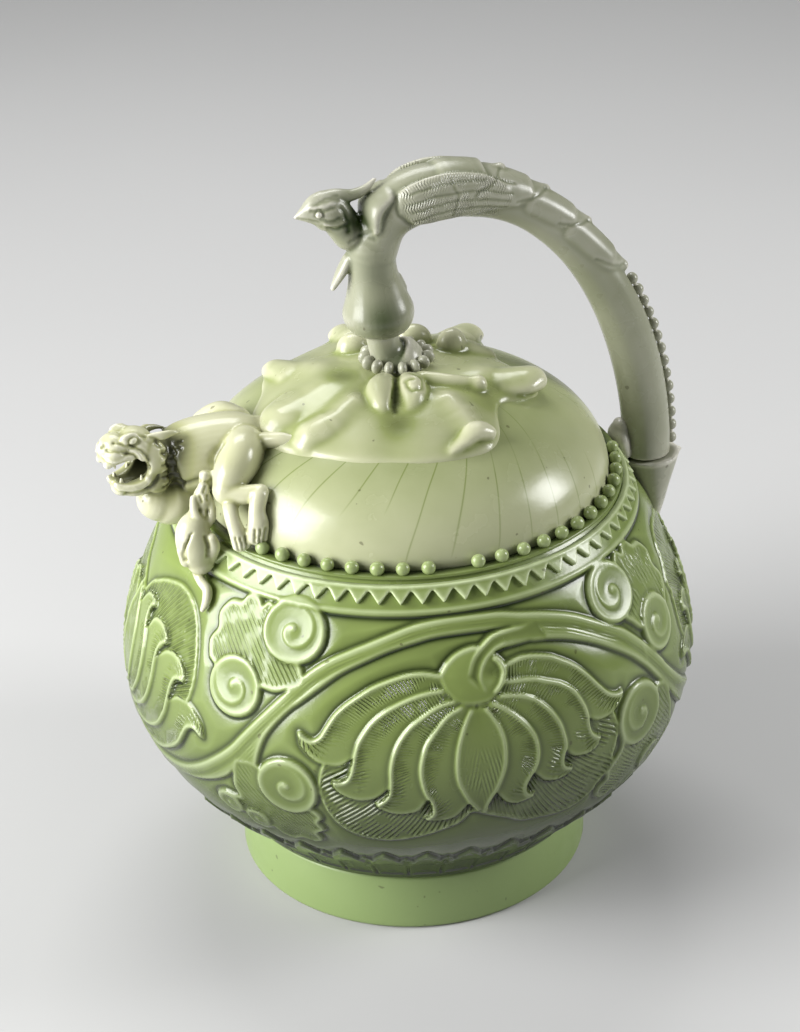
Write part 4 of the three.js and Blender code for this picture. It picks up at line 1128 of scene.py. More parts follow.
def foot_ring(glaze):
    inner = foot_radius - foot_wall
    top = foot_height - joint_line
    profile = [(inner + 1, 0), (foot_radius - 0.8, 0), (foot_radius, 0.9), (foot_top, top), (inner - 1, top),
               (inner - 0.6, 4)]
    foot = spun("turned_foot", rounded(profile, 0.9), 240)
    foot.piece(glaze, "foot_glaze", ["foot_ring"])


def shoulder_ledge(glaze):
    inner = lid_radius + joint_line
    outer = float(turned_belly(shoulder_height)) + 1
    profile = [(inner, shoulder_height), (outer, shoulder_height), (outer, ledge_top), (inner, ledge_top)]
    ledge = spun("pearl_ledge", rounded(profile, 0.4), 240)
    reach = np.hypot(ledge.points[:, 0], ledge.points[:, 1])
    pool_and_shade = 0.2 + 0.8 * smooth_step(reach, outer - 0.9, outer - 1.6)
    ledge.piece(glaze, "body_glaze", ["shoulder_ledge"], pool_and_shade=pool_and_shade)


# Pearls and teeth, laid out by geometry nodes

class Layout(Nodes):
    """A geometry tree with named inputs for its sizes. It lays a lump of clay on each point of a row."""

    def __init__(self, name, *sizes):
        super().__init__(bpy.data.node_groups.new(name, "GeometryNodeTree"))
        kinds = {"Geometry": "NodeSocketGeometry", "Seed": "NodeSocketInt"}
        for way, labels in (("INPUT", ("Geometry", *sizes)), ("OUTPUT", ("Geometry",))):
            for label in labels:
                kind = kinds.get(label, "NodeSocketFloat")
                self.tree.interface.new_socket(label, in_out=way, socket_type=kind)
        self.given = self.node("NodeGroupInput").outputs

    def direction(self, name):
        kind = "GeometryNodeInputNamedAttribute"
        return self.node(kind, {"Name": name}, data_type="FLOAT_VECTOR").outputs["Attribute"]

    def turned(self, first, second, towards, aside):
        """A rotation that brings axis `first` to one direction, and axis `second` near to another."""
        inputs = {"Primary Axis": towards, "Secondary Axis": aside}
        axes = {"primary_axis": first, "secondary_axis": second}
        return self.node("FunctionNodeAxesToRotation", inputs, **axes).outputs["Rotation"]

    def laid(self, lump, rotation, scale):
        inputs = {"Points": self.given["Geometry"], "Instance": lump, "Rotation": rotation, "Scale": scale}
        return self.node("GeometryNodeInstanceOnPoints", inputs).outputs["Instances"]

    def finish(self, shapes, glaze):
        joined = self.node("GeometryNodeJoinGeometry")
        for shape in shapes:
            self.feed(joined.inputs["Geometry"], shape)
        made = joined.outputs["Geometry"]
        for kind in ("RealizeInstances", "SetShadeSmooth"):
            made = self.node("GeometryNode" + kind, {"Geometry": made}).outputs["Geometry"]
        glazed = self.node("GeometryNodeSetMaterial", {"Geometry": made, "Material": glaze})
        self.node("NodeGroupOutput", {"Geometry": glazed.outputs["Geometry"]})
        return self.tree


def run_tree(piece, tree, values):
    """Runs a tree on a piece with the given inputs, and keeps the plain mesh that it makes."""
    modifier = piece.modifiers.new(tree.name, "NODES")
    modifier.node_group = tree
    for item in tree.interface.items_tree:
        if item.in_out == "INPUT" and item.name in values:
            modifier[item.identifier] = values[item.name]
    name, mesh = piece.name, evaluated(piece)
    piece.modifiers.remove(modifier)
    bpy.data.objects.remove(piece)
    return placed(name, mesh)


def pearl_tree(glaze):
    """Pearls pinched out of a thin string of clay, each a little different."""
    sizes = "Pearl Radius", "Flatness", "Slimness", "String Radius", "Variation", "Seed"
    layout = Layout("pearls_on_a_string", *sizes)
    node, given = layout.node, layout.given
    section = node("GeometryNodeCurvePrimitiveCircle", {"Resolution": 10, "Radius": given["String Radius"]})
    string = node("GeometryNodeMeshToCurve", {"Mesh": given["Geometry"]})
    round_string = node("GeometryNodeCurveToMesh", {
        "Curve": string.outputs["Curve"], "Profile Curve": section.outputs["Curve"], "Fill Caps": True})
    pearl = node("GeometryNodeMeshIcoSphere", {"Subdivisions": 4, "Radius": given["Pearl Radius"]})
    flat = node("ShaderNodeCombineXYZ", {"X": given["Slimness"], "Y": 1, "Z": given["Flatness"]})
    pressed = node("GeometryNodeTransform", {
        "Geometry": pearl.outputs["Mesh"], "Scale": flat.outputs["Vector"]})
    least = node("ShaderNodeMath", {0: 1, 1: given["Variation"]}, operation="SUBTRACT")
    size = node("FunctionNodeRandomValue", {
        2: least.outputs["Value"], 3: 1, "Seed": given["Seed"]}, data_type="FLOAT")
    facing = layout.turned("Z", "Y", layout.direction("outward"), (0, 0, 1))
    pearls_laid = layout.laid(pressed.outputs["Geometry"], facing, size.outputs[1])
    return layout.finish([round_string.outputs["Mesh"], pearls_laid], glaze)


def points_with_facing(name, places, facings, runs):
    """A mesh of places in metres, joined by edges within each run, with a direction at each place."""
    mesh = bpy.data.meshes.new(name)
    edges = [(run[k], run[k + 1]) for run in runs for k in range(len(run) - 1)]
    mesh.from_pydata((np.asarray(places) * MM).tolist(), edges, [])
    give_directions(mesh, "outward", facings)
    return placed(name, mesh)


def give_directions(mesh, label, directions):
    layer = mesh.attributes.new(label, "FLOAT_VECTOR", "POINT")
    layer.data.foreach_set("vector", np.asarray(directions, np.float32).ravel())


def give_values(mesh, label, values):
    layer = mesh.attributes.new(label, "FLOAT", "POINT")
    layer.data.foreach_set("value", np.asarray(values, np.float32))


def pearls(name, places, facings, runs, radius, tree, nodes, slim=1.0, seed=1):
    made = run_tree(points_with_facing(name, places, facings, runs), tree, {
        "Pearl Radius": radius * MM, "Flatness": 0.95, "Slimness": slim, "String Radius": 0.5 * MM,
        "Variation": 0.08, "Seed": seed})
    clay_pool(made, 0.5)
    settle(made, nodes)


def clay_pool(made, full):
    """Works out where the glaze pools on a piece that is already in metres."""
    clay = Clay(made.name, made.data.copy())
    clay.points /= MM
    pool_and_shade = clay.pooling(10, full)
    give_values(made.data, "pool_and_shade", pool_and_shade)
    bpy.data.meshes.remove(clay.mesh)


def shoulder_pearls(tree):
    reach = lid_radius + pearl_radius
    places, facings = [], []
    for i in range(1, pearl_places):
        turn = lost_pearl_turn + 360 * i / pearl_places
        from_spout = min(abs(turn + 90), abs(turn - 270))
        if from_spout < spout_cover or abs(turn - 90) < socket_cover:
            continue
        angle = math.radians(turn)
        out = (math.sin(angle), -math.cos(angle), 0)
        places.append((reach * out[0], reach * out[1], ledge_top + 0.75 * pearl_radius))
        facings.append(out)
    nodes = ["pearls_front", "pearls_back"]
    pearls("shoulder_pearls", places, facings, [], 1.08 * pearl_radius, tree, nodes)


def stem_collar_pearls(tree):
    angles = np.linspace(0, 2 * np.pi, collar_pearls, endpoint=False)
    out = np.column_stack([np.cos(angles), np.sin(angles), 0 * angles])
    places = out * (collar_radius - 0.5) + np.array([collar_centre, 0, collar_height - 0.4])
    leaning = out + np.array([0, 0, 0.45])
    leaning /= np.linalg.norm(leaning, axis=1)[:, None]
    radius, nodes = 1.28 * collar_pearl_radius, ["pearl_collar"]
    pearls("pearl_collar_ring", places, leaning, [], radius, tree, nodes, slim=0.66, seed=4)


def bow_point(angle):
    """A place on the bow's centre line, `angle` degrees down from its top, and the way out of the bow."""
    def on_curve(degrees):
        turn = math.radians(degrees)
        sine, cosine = math.sin(turn), math.cos(turn)
        along = bow_span * math.copysign(abs(sine) ** (2 / bow_fullness), sine)
        up = bow_rise * math.copysign(abs(cosine) ** (2 / bow_fullness), cosine)
        return np.array([bow_centre + along, 0, bow_foot + up])
    facing = on_curve(angle + 0.5) - on_curve(angle - 0.5)
    facing /= np.linalg.norm(facing)
    return on_curve(angle), np.array([-facing[2], 0, facing[0]])


def bow_place(angle, out=0.0):
    centre, outward = bow_point(angle)
    return centre + out * outward


def skin_radius(angle):
    body = min(max((24 - angle) / 24, 0), 1)
    t = min(max((angle - 35) / (72 - 35), 0), 1)
    return bow_waist + 1.7 * body + (bow_radius - bow_waist) * t * t * (3 - 2 * t)


def bow_pearls(tree):
    places, facings = [], []
    for angle in np.linspace(54, 88, handle_pearls):
        centre, outward = bow_point(angle)
        places.append(centre + (skin_radius(angle) + 0.8) * outward)
        facings.append(outward)
    runs = [list(range(handle_pearls))]
    nodes = ["handle_pearls"]
    pearls("bow_pearls", places, facings, runs, handle_pearl_radius, tree, nodes, seed=7)


def tooth_tree(glaze):
    """A row of saw teeth, each a flat three-sided slip of clay with its point down."""
    layout = Layout("saw_teeth", "Tooth Width", "Tooth Length", "Thickness")
    node, given = layout.node, layout.given
    slip = node("GeometryNodeMeshCylinder", {"Vertices": 3, "Radius": 2 / 3, "Depth": 1})
    sizes = {"X": given["Tooth Length"], "Y": given["Tooth Width"], "Z": given["Thickness"]}
    size = node("ShaderNodeCombineXYZ", sizes).outputs["Vector"]
    facing = layout.turned("X", "Z", layout.direction("downward"), layout.direction("outward"))
    return layout.finish([layout.laid(slip.outputs["Mesh"], facing, size)], glaze)


def sawtooth_band(glaze):
    top = shoulder_height - 2 * joint_line - 0.2
    root = top - 1
    height = root - tooth_drop / 3
    lean = math.atan(float(turned_belly(height - 0.5) - turned_belly(height + 0.5)))
    places, facings, downs = [], [], []
    for i in range(tooth_count):
        turn = 2 * math.pi * (i + 0.5) / tooth_count
        out = np.array([math.cos(turn), math.sin(turn), 0])
        places.append((float(turned_belly(height)) + 0.2) * out + np.array([0, 0, height]))
        facings.append(out * math.cos(lean) + np.array([0, 0, math.sin(lean)]))
        downs.append(out * math.sin(lean) + np.array([0, 0, -math.cos(lean)]))
    row = points_with_facing("saw_teeth", places, facings, [])
    give_directions(row.data, "downward", downs)
    pitch = 2 * math.pi * float(turned_belly(height)) / tooth_count
    wide, long, thick = 0.86 * pitch * MM, tooth_drop * MM, 2 * band_thickness * MM
    teeth = run_tree(row, tooth_tree(glaze), {"Tooth Width": wide, "Tooth Length": long, "Thickness": thick})
    outer = float(turned_belly(root)) + joint_line
    profile = [(outer - 0.6, root - 0.3), (outer + band_thickness, root - 0.3),
               (outer + band_thickness * 0.7, top), (outer - 1, top)]
    collar = spun("band_collar", rounded(profile, 0.3), 240)
    parts = [lump(read_vectors(teeth.data.vertices, "co") / MM, teeth.data), lump(collar.points, collar.mesh)]
    bpy.data.objects.remove(teeth)
    clay = kneaded("sawtooth_frieze", parts, 0.3, rounds=2)
    clay.piece(glaze, "body_glaze", ["sawtooth_band"], pool_and_shade=clay.pooling(10, 0.16) - 0.15)


# Calyx on the mock lid

calyx_outline = [
    (-150, 33), (-126, 35.5), (-108, 33), (-92, 37.5), (-64, 37.5), (-50, 35.4), (-20, 34.8), (10, 35.6),
    (24, 35.6), (31, 31), (40, 26), (52, 26), (62, 32), (82, 32), (94, 27), (110, 26), (124, 33), (140, 34),
    (154, 27), (170, 26), (186, 33), (200, 34),
]


def on_lid(turn, reach, up, *sizes):
    angle = math.radians(turn)
    return (reach * math.sin(angle), -reach * math.cos(angle), float(lid_height(reach)) + up, *sizes)


def draped(outline, thick, sink):
    """A sheet of clay laid over the mock lid. Its outline is given as turns and reaches."""
    points, faces = ball((0, 0, 0), 1, segments=180, rings=60)
    turns = np.degrees(np.arctan2(points[:, 0], -points[:, 1]))
    across = np.hypot(points[:, 0], points[:, 1])
    lags = (-7, -3.5, 0, 3.5, 7)
    edge = np.mean([np.interp(turns + lag, *zip(*outline), period=360) for lag in lags], axis=0)
    reach = edge * across
    away = reach / across.clip(1e-6)
    upper = thick * np.abs(points[:, 2]).clip(0, 1) ** 0.85
    rise = np.where(points[:, 2] > 0, upper, -sink)
    return np.column_stack([points[:, 0] * away, points[:, 1] * away, lid_height(reach) + rise]), faces


def calyx(glaze):
    def line(*places):
        return [on_lid(*place) for place in places]

    def leaf(*stations):
        return limb(line(*stations), across=(0, 0, 1))

    def lobe(turn, reach, up, radii):
        return ball(on_lid(turn, reach, up), radii)

    def ridge(root, middle, tip, height, half):
        return line((root, 20, 3), (middle, 26, 3), (tip, 32, 2)), height, half

    middle = [(0.02, crown - 5), (13, crown - 5), (12, crown - 0.4), (9, crown + 1.6), (0.02, crown + 2.2)]
    mound = spun("mound", rounded(middle, 1.5), 64)
    clay = kneaded("persimmon_leaves", [
        draped(calyx_outline, 3.1, 2.5),
        leaf((-82, 25, 0.8, 1.6, 7), (-78, 32, 1.4, 1.9, 6), (-76, 35.6, 1.2, 1.3, 3)),
        leaf((-118, 25, 0.8, 1.6, 6), (-128, 33.4, 1.8, 1.5, 3)),
        leaf((-50, 22, 0.8, 1.5, 5), (-57, 30, 1.2, 1.5, 5), (-58, 35, 0.9, 1.1, 2.6)),
        leaf((3, 33.8, 1.0, 0.9, 1.2), (9, 33.2, 2.1, 1.4, 1.9), (15, 32.6, 3.1, 1.7, 2.3),
             (21.5, 33.4, 2.5, 1.4, 1.7)),
        leaf((66, 23, 0.8, 1.7, 6), (69, 28, 1.8, 2.1, 6), (73, 32, 3.2, 2, 3.8)),
        leaf((130, 25, 1.8, 1.6, 5), (131, 32, 2.8, 1.5, 3.6)),
        leaf((190, 25, 1.8, 1.6, 5), (190, 32, 2.8, 1.5, 3.6)),
        leaf((14, 10, 3.2, 1.9), (32, 14.6, 3.2, 1.9), (46, 19.6, 2.6, 1.8)),
        lobe(46.5, 20.4, 2.8, 2.35), lobe(-150, 15.5, 3.2, (4.2, 3.6, 3.8)),
        lobe(150, 13.5, 3.6, (4.6, 3.4, 4)), lobe(112, 16, 3.4, (3.8, 3.4, 4.6)),
        leaf((112, 17, 3, 2.2, 3), (108, 22, 2, 1.6, 4), (106, 26, 1, 1.2, 3)),
        leaf((-38, 10, 2.6, 2.6, 3), (-35, 14, 3.2, 2.8, 3.5), (-29, 19, 2.4, 2.3, 2.6),
             (-26, 22, 1.4, 1.2, 1.2)),
        leaf((-6, 9.6, 2.8, 2.4, 3), (-5, 13.6, 3.4, 2.7, 3.3), (-8, 18, 2.4, 2.2, 2.7),
             (-13, 21.4, 1.4, 1.2, 1.2)),
        lump(mound.points, mound.mesh),
    ], 0.4, rounds=16)
    curl = line((-2, 11, 5), (6, 13, 5), (3, 16, 4.6), (-7, 17, 4.6), (-10, 14, 5), (-4, 13.6, 5.4))
    clay.draw(
        (curl, -0.45, 0.6),
        (line((-20, 9, 4), (-21, 14, 4), (-20, 21, 3)), -0.5, 0.8),
        ridge(-50, -52, -57, 1.3, 3.4), ridge(-84, -80, -77, 1.0, 5), ridge(-112, -120, -127, 1.1, 4.6),
        ridge(18, 18, 17, 1.2, 3.4), ridge(66, 69, 72, 1.0, 4.4), ridge(128, 130, 131, 1.2, 4.4),
        ridge(190, 190, 190, 1.2, 4.4), ridge(-14, -18, -20, -0.6, 5),
    )
    clay.relax(2)
    # Three darker patches on the leaves.
    dark_patches = (on_lid(-18, 25, 2), 4, 0.6), (on_lid(-85, 15, 3), 4, 0.5), (on_lid(40, 26, 2), 5, 0.4)
    pool_and_shade = clay.with_shade_and_pool_patches(clay.pooling(20, 0.42) - 0.22, *dark_patches)
    clay.piece(glaze, "lid_glaze", ["persimmon_calyx", "calyx_bud"], pool_and_shade=pool_and_shade)


# Phoenix and bow

feather_spans = [(2, 14.5), (12, 26), (23, 38), (35, 50.5)]


def bow_path(start, end, count, section):
    """Stations along the bow. `section` gives the half width, the half depth and how far out it lies."""
    rows = []
    for k in range(count + 1):
        share = k / count
        angle = start + (end - start) * share
        wide, deep, out = section(share, angle)
        rows.append((*bow_place(angle, out), wide, deep))
    return rows


def tail_feather(span):
    def tapering(share, angle):
        skin, taper = skin_radius(angle), math.sqrt(1 - share**4)
        deep = (skin - 0.5) * (0.3 + 0.7 * taper)
        return (skin + 0.6) * (0.25 + 0.75 * taper), deep, skin + 0.9 + 1.1 * share - deep

    return limb(bow_path(*span, 5, tapering))


def bare_bow(_, angle):
    return skin_radius(angle), skin_radius(angle), 0


def on_bow(side, angle, out):
    """A place on the near or far side of the bow, `out` of its centre line."""
    place = bow_place(angle, out)
    reach = math.sqrt(max((skin_radius(angle) + 0.6) ** 2 - out * out, 4))
    return (place[0], side * reach, place[2])


def wing(side):
    stations = []
    for angle, out, aside, wide, deep in (
            (-11, 0.4, 4.6, 1.8, 3.8), (-7, 0.2, 5.6, 2, 5.2), (0, 0.6, 5.8, 2, 5.6), (8, 1, 5.5, 1.9, 5),
            (14, 1.2, 5, 1.7, 3.6), (19, 1.3, 4.7, 1.3, 1.8)):
        place = bow_place(angle, out)
        stations.append((place[0], side * aside, place[2], wide, deep))
    return limb(stations)


def wing_lines(side):
    """Grooves between the rows of the wing, which follow the bow, and the fold across them."""
    def line(*places):
        return [on_bow(side, angle, out) for angle, out in places]

    rows = []
    for low, high in ((3.4, 4.4), (1.2, 2.6), (-1, 0.9), (-3.2, -0.8)):
        places = [(angle, low + (high - low) * k / 4) for k, angle in enumerate(np.linspace(-9, 17, 5))]
        rows.append((line(*places), -0.2, 0.3))
    rows.append((line((1.5, 4.2), (3, 1), (2.2, -3.4)), -0.16, 0.35))
    rows.append((line((-11, 4.6), (-12.4, 0.6), (-10, -4)), -0.25, 0.5))
    return rows


def stem(glaze):
    lean = neck_centre - stem_centre
    parts = [limb([
        (collar_centre, 0, stem_foot - 1.6, 7.4), (collar_centre, 0, stem_foot + 0.8, 6.6),
        (stem_centre, 0, stem_foot + 2.4, 4.7), (stem_centre + lean * 0.5, 0, stem_foot + 4.8, 3.9),
        (stem_centre + lean * 0.9, 0, stem_foot + stem_height + 1.6, 3.9),
    ], flat=(True, True))]
    clay = kneaded("phoenix_stem", parts, 0.3)
    # Painted shade on the front of the stem, under the breast.
    shade = ((stem_centre - 1, -5.5, stem_foot + 4), 3.4, 0.75)
    clay.piece(glaze, "handle_glaze", ["neck_stem"], pool_and_shade=clay.with_shade_and_pool_patches(clay.pooling(), shade))


# Lines drawn on both sides of the phoenix: places on the near side, height and half width
phoenix_lines = [
    ([(-23.6, 1, 174.3), (-21, 2.2, 174), (-19.4, 3.4, 173.4)], -0.18, 0.3),
    ([(-21.4, 3, 177.4), (-19, 4, 177.6), (-15.4, 4, 178.4)], 0.24, 0.45),
    ([(-20.9, 3, 176.7), (-18.6, 4, 176.6), (-15.4, 4, 177.2)], -0.24, 0.35),
    ([(-18.9, 4, 174.2), (-16.4, 4, 173.8), (-14.2, 4, 174.6)], -0.27, 0.4),
    ([(-17.7, 4, 171.8), (-15.4, 4, 171.6), (-13, 4, 172.6)], -0.24, 0.45),
    ([(-18.2, 4, 172.9), (-15.8, 4, 172.6), (-12.8, 4, 173.7)], 0.18, 0.4),
    ([(-13.2, 4, 176.8), (-12.4, 4, 174), (-12.2, 4, 171)], -0.36, 0.7),
    ([(-12, 4, 168.2), (-9.6, 5, 169.6), (-7, 6, 169)], -0.21, 0.5),
    *(([(-20.2 + 0.8 * k, 3, 177.9 + 0.6 * k), (-16.2, 3, 178.7 + 0.5 * k), (-13.8, 3, 178.8 + 0.5 * k)],
       -0.1, 0.2) for k in range(4)),
]


def phoenix_parts():
    x, z = neck_centre, breast_foot
    nape_x, nape_z = neck_centre - 1.2, neck_top + joint_line
    breast = limb([
        (x, 0, z, 5.2), (x, 0, z + 1.9, 7.5), (x - 0.1, 0, z + 5.3, breast_radius),
        (x - 0.5, 0, z + 9.8, 7.1), (x - 1, 0, z + 14.5, 5.9), (x - 1.3, 0, z + 18.6, neck_radius),
        (nape_x, 0, neck_top, 5.9),
    ], flat=(True, False))
    back = limb([
        (nape_x, 0, nape_z - 2, 5.9), (nape_x + 2.3, 0, nape_z + 4.2, 6), (nape_x + 6, 0, nape_z + 8.2, 6.5),
        *((*bow_place(angle), skin_radius(angle)) for angle in (-4, 4.5, 13)),
    ])
    bow = limb(bow_path(11, 90, 16, bare_bow), flat=(False, True), steps=6)
    head = limb([
        (-23.6, 0, 174.5, 0.5), (-21.6, 0, 175, 1.7, 1.9), (-18.9, 0, 175.5, 3, 4),
        (-16.2, 0, 175.1, 3.9, 4.8), (-13.8, 0, 173.2, 3.9, 4.2), (-11.2, 0, 169, 4, 4),
    ])
    crest = limb([
        (-17.5, 0, 178.4, 1.9, 1.5), (-14, 0, 178.4, 1.9, 1.7), (-10.4, 0, 178.1, 1.5, 1.4),
        (-7.2, 0, 179, 1.1, 1.1), (-4.6, 0, 181.2, 0.5, 0.5),
    ])
    fold = limb([(-2.2, 0, 178, 5.8, 1.8), (-5.6, 0, 175, 6.6, 2.4), (-6.2, 0, 170.8, 6.4, 2)])
    throat = limb([(-11.6, 0, 162.6, 2, 1.4), (-13.6, 0, 159.4, 1.9, 1.2), (-15.6, 0, 155.9, 0.7, 0.7)])
    rear = limb([(0.2, 0, 156.6, 1.8, 0.9), (1.6, 0, 153.8, 1.2, 0.7)])
    feathers = [tail_feather(span) for span in feather_spans]
    return [breast, back, bow, head, crest, fold, throat, rear, wing(-1), wing(1), *feathers]


def phoenix(glaze):
    clay = kneaded("phoenix_and_bow", phoenix_parts(), 0.32, rounds=4)
    strokes = [([(-8.4, 6, 170.6), (-10, 0, 169), (-8.4, -6, 170.6)], -0.2, 0.6)]
    for side in (-1, 1):
        strokes += wing_lines(side)
        strokes += laid_on(phoenix_lines, lambda x, y, z: (x, side * y, z))
        for _, end in feather_spans:
            edge = enumerate((end - 7, end - 2.6, end - 0.6))
            strokes.append(([on_bow(side, angle, 1.2 + 2.8 * k) for k, angle in edge], -0.2, 0.45))
    clay.draw(*strokes)
    clay.relax(1)
    eyes = []
    for side in (-1, 1):
        eyes.append(ball((-18.9, side * 3.15, 175.6), 0.75, segments=24, rings=16))
        turns = np.linspace(0, 2 * math.pi, 9)
        ring = [(-18.9 + 1.15 * math.cos(a), side * 3.4, 175.6 + 1.0 * math.sin(a)) for a in turns]
        clay.draw((ring, -0.16, 0.3))
    x, z = neck_centre, breast_foot
    # Painted shadow on the cheeks and at the back of the head, behind the crest; darker patches on the front
    # of the breast and of the neck.
    dark_patches = [((x - 1, -8.2, z + 5.5), 5, 0.85), ((x - 2, -6, z + 17), 4, 0.3), ((-13, -4, 172.5), 3.4, 0.5),
              ((-13, 4, 172.5), 3.4, 0.5), ((-10.2, 0, 175), 3.4, 0.9), ((-9.6, 4, 172.5), 2.4, 0.7),
              ((-9.6, -4, 172.5), 2.4, 0.7)]
    pool_and_shade = clay.with_shade_and_pool_patches(clay.pooling(14, 0.3), *dark_patches)
    gone = clay.points - np.array([bow_centre, 0, bow_foot])
    angle = np.degrees(np.arctan2(gone[:, 0] / bow_span, gone[:, 2] / bow_rise))
    out = np.hypot(gone[:, 0] / bow_span, gone[:, 2] / bow_rise)
    in_wing = smooth_step(angle, -11, -9) * smooth_step(angle, 18, 15)
    in_wing *= smooth_step(np.abs(clay.points[:, 1]), 3.5, 5) * smooth_step(out, 1.09, 1.05)
    comb = angle * 1.5 + 1.8 * np.abs((out * 30) % 1 - 0.5)
    nodes = [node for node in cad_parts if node.startswith(("phoenix_", "wing_", "tail_feather_"))]
    nodes += ["throat_feather", "handle_bow"]
    clay.piece(glaze, "handle_glaze", nodes, pool_and_shade=pool_and_shade, comb=comb, combed=0.8 * in_wing)
    kneaded("phoenix_eyes", eyes, 0.2).piece(glaze, "handle_glaze", ["phoenix_head"])


def bow_socket(glaze):
    def roll(*stations, base=bow_foot - joint_line, **settings):
        return limb([(socket_x + out, 0, base + up, *sizes) for out, up, *sizes in stations], **settings)

    parts = [
        roll((2.6, -18, 1.8, 1.6), (2.4, -13, 3.6, 3), (1.6, -7, 5.6, 5.2), (1, 0, 7.6, 7.6),
             flat=(False, True)),
        roll((4.6, -4.4, 2.4, 2), (7.2, -2, 1.6, 1.4), (9.2, -0.6, 0.6, 0.6)),
        roll((-6.4, 1.6, 4.2, 2.2), (-7.4, 5.4, 4.6, 2.4), (-7, 8.4, 2.6, 1.8), base=bow_foot),
    ]
    kneaded("bow_socket", parts, 0.4).piece(glaze, "handle_glaze", ["handle_socket", "socket_petal"])


# Lioness and cub. Their places are measured outwards from the mock lid's edge under the spout,
# sideways, and up from the shoulder.

def at(out, aside, up, *sizes):
    return (-lid_radius - out, aside, shoulder_height + up, *sizes)


def figure_limb(*stations, **settings):
    return limb([at(*station) for station in stations], **settings)


def both_sides(*stations):
    """The same stations on the near side and on the far side of the lioness."""
    middle = -3.6
    return [stations, [(out, 2 * middle - aside, *rest) for out, aside, *rest in stations]]


def lioness_parts(head):
    parts = [
        figure_limb(
            (-13, -3.6, 15.4, 7, 6.8), (-8, -3.6, 15.8, 8.8, 8.2), (-2, -3.4, 15.4, 9, 8.8),
            (3, -3, 14.8, 8.6, 8.6), (6, -2.8, 14.4, 7.6, 7.8), (7.6, -2.8, 14, 5.6, 5.8),
            flat=(False, True)),
        figure_limb((4, -3, 5, 6.2, 5.4), (8.2, -3.6, 4.6, 6.6, 6), (11, -4, 5.4, 5.4, 5.4)),
        head.limb([
            (-9, 0, -3.4, 4.8, 6), (-4, 0, -1.8, 4.9, 6.2), (1, 0, -0.6, 5.2, 6.4), (4, 0, 0.4, 5, 6)]),
        head.ball(4.4, 0, 4.4, (5, 5.2, 4.3)),
        head.ball(9.4, 0, 4.8, (3.4, 4.2, 3.8)),
        head.ball(11.5, 0, 5.4, (1.9, 2.6, 2.3)),
        head.ball(11, 0, 3, (1.8, 3, 1.8)),
        head.ball(4.6, 0, -5.6, (4.8, 4.3, 2.6)),
        head.ball(8.4, 0, -5.2, (2.3, 2.9, 2.2)),
    ]
    for side in (-1, 1):
        lift = 0.6 * side
        parts += [
            head.ball(6.2, side * 2.7, 7.2, (2.9, 1.9, 1.7)),
            head.ball(10, side * 2.2, 4.4, (2.6, 2.4, 2.6)),
            head.ball(1.2, side * 3.6, 1, (3.6, 2.6, 5)),
            head.ball(0.4, side * 3.4, -4.4, (3.6, 2.4, 3.4)),
            head.limb([(2.2, side * 4.2, -0.6, 1.5, 1.6), (4, side * 4.3, -3.2, 1.3, 1.3),
                       (7, side * 3.6, -3.9, 1.2, 1.2), (9.8, side * 1.8, -3.5, 1.2, 1.2)]),
            head.limb([(2.6, side * 4.4, 1, 1.4, 1.3), (5, side * 4.3, 3.6, 1.2, 1.2),
                       (8.6, side * 3.6, 3.6, 1.2, 1.1), (12, side * 1.9, 2.2, 1.1, 1.1)]),
            head.limb([
                (2, side * 3.8, 6.4 + lift, 0.9, 1.1), (-1, side * 4.6, 6 + side, 0.8, 1.2),
                (-3.6, side * 4.9, 5.8 + 2 * lift, 0.7, 0.9), (-5.6, side * 4.6, 5.4 + 2 * lift, 0.4, 0.4)]),
        ]
    lengthwise, sideways, upwards = (1, 0, 0), (0, 1, 0), (0, 0, 1)
    leg = [
        (lengthwise, both_sides(
            (-9, -9, 17, 5.6, 6.2), (-7, -13, 16.8, 5.2, 6), (-4, -16.4, 14.8, 4.4, 4.8),
            (-2.4, -18.2, 12.4, 3.4, 3.6))),
        (sideways, both_sides(
            (-1.8, -19, 12, 2.7, 2.6), (-5.6, -21.4, 12.2, 2.4, 2.3), (-9.2, -23.2, 13, 2.1, 2.1))),
        (lengthwise, both_sides(
            (-8.8, -24, 12.8, 2.1, 2), (-7.6, -26, 10.2, 2, 1.9), (-7.4, -27.4, 7.2, 2.5, 2.3),
            (-6.8, -28.2, 4.4, 2.5, 1.9))),
        (lengthwise, both_sides(
            (-2.6, -20.4, 10.4, 2, 2), (-2, -24, 8.6, 1.8, 1.7), (-2.6, -26.4, 5.4, 2, 1.8),
            (-3.2, -27.4, 2.8, 2.3, 1.7))),
    ]
    for k in (0, 1):
        parts += [figure_limb(*sides[k], across=across) for across, sides in leg]
    tail = figure_limb(
        (-13, -10.6, 19.6, 2, 2), (-16.6, -13, 20.4, 1.9, 1.8), (-18.6, -14.2, 20.6, 1.5, 1.4),
        (-20.4, -15, 21, 0.9, 0.9), across=upwards)
    return [*parts, tail]


def lioness_hollows(head):
    """The mouth from side to side, the opening between the jaws, and the pouring way down into the pot."""
    cut = (True, True)
    mouth = head.limb([(7.6, aside, -0.2, 4.7, 3.2) for aside in (-9, 0, 9)], across=(1, 0, 0), flat=cut)
    opening = head.limb([(16, 0, -1, 3, 2.7), (10, 0, -0.8, 2.9, 2.6), (6, 0, -1.2, 2.9, 3.1)], flat=cut)
    throat = figure_limb(
        (20, -7, 16, 3.2, 3.2), (15, -5.4, 16, 3.2, 3.2), (10, -4, 15.6, 3.1, 3.1), (4, -3.2, 14, 3.3),
        (-3, -1.6, 10.6, 3.6), (-9, 0, 8, 3.9), flat=cut)
    return [mouth, opening, throat]


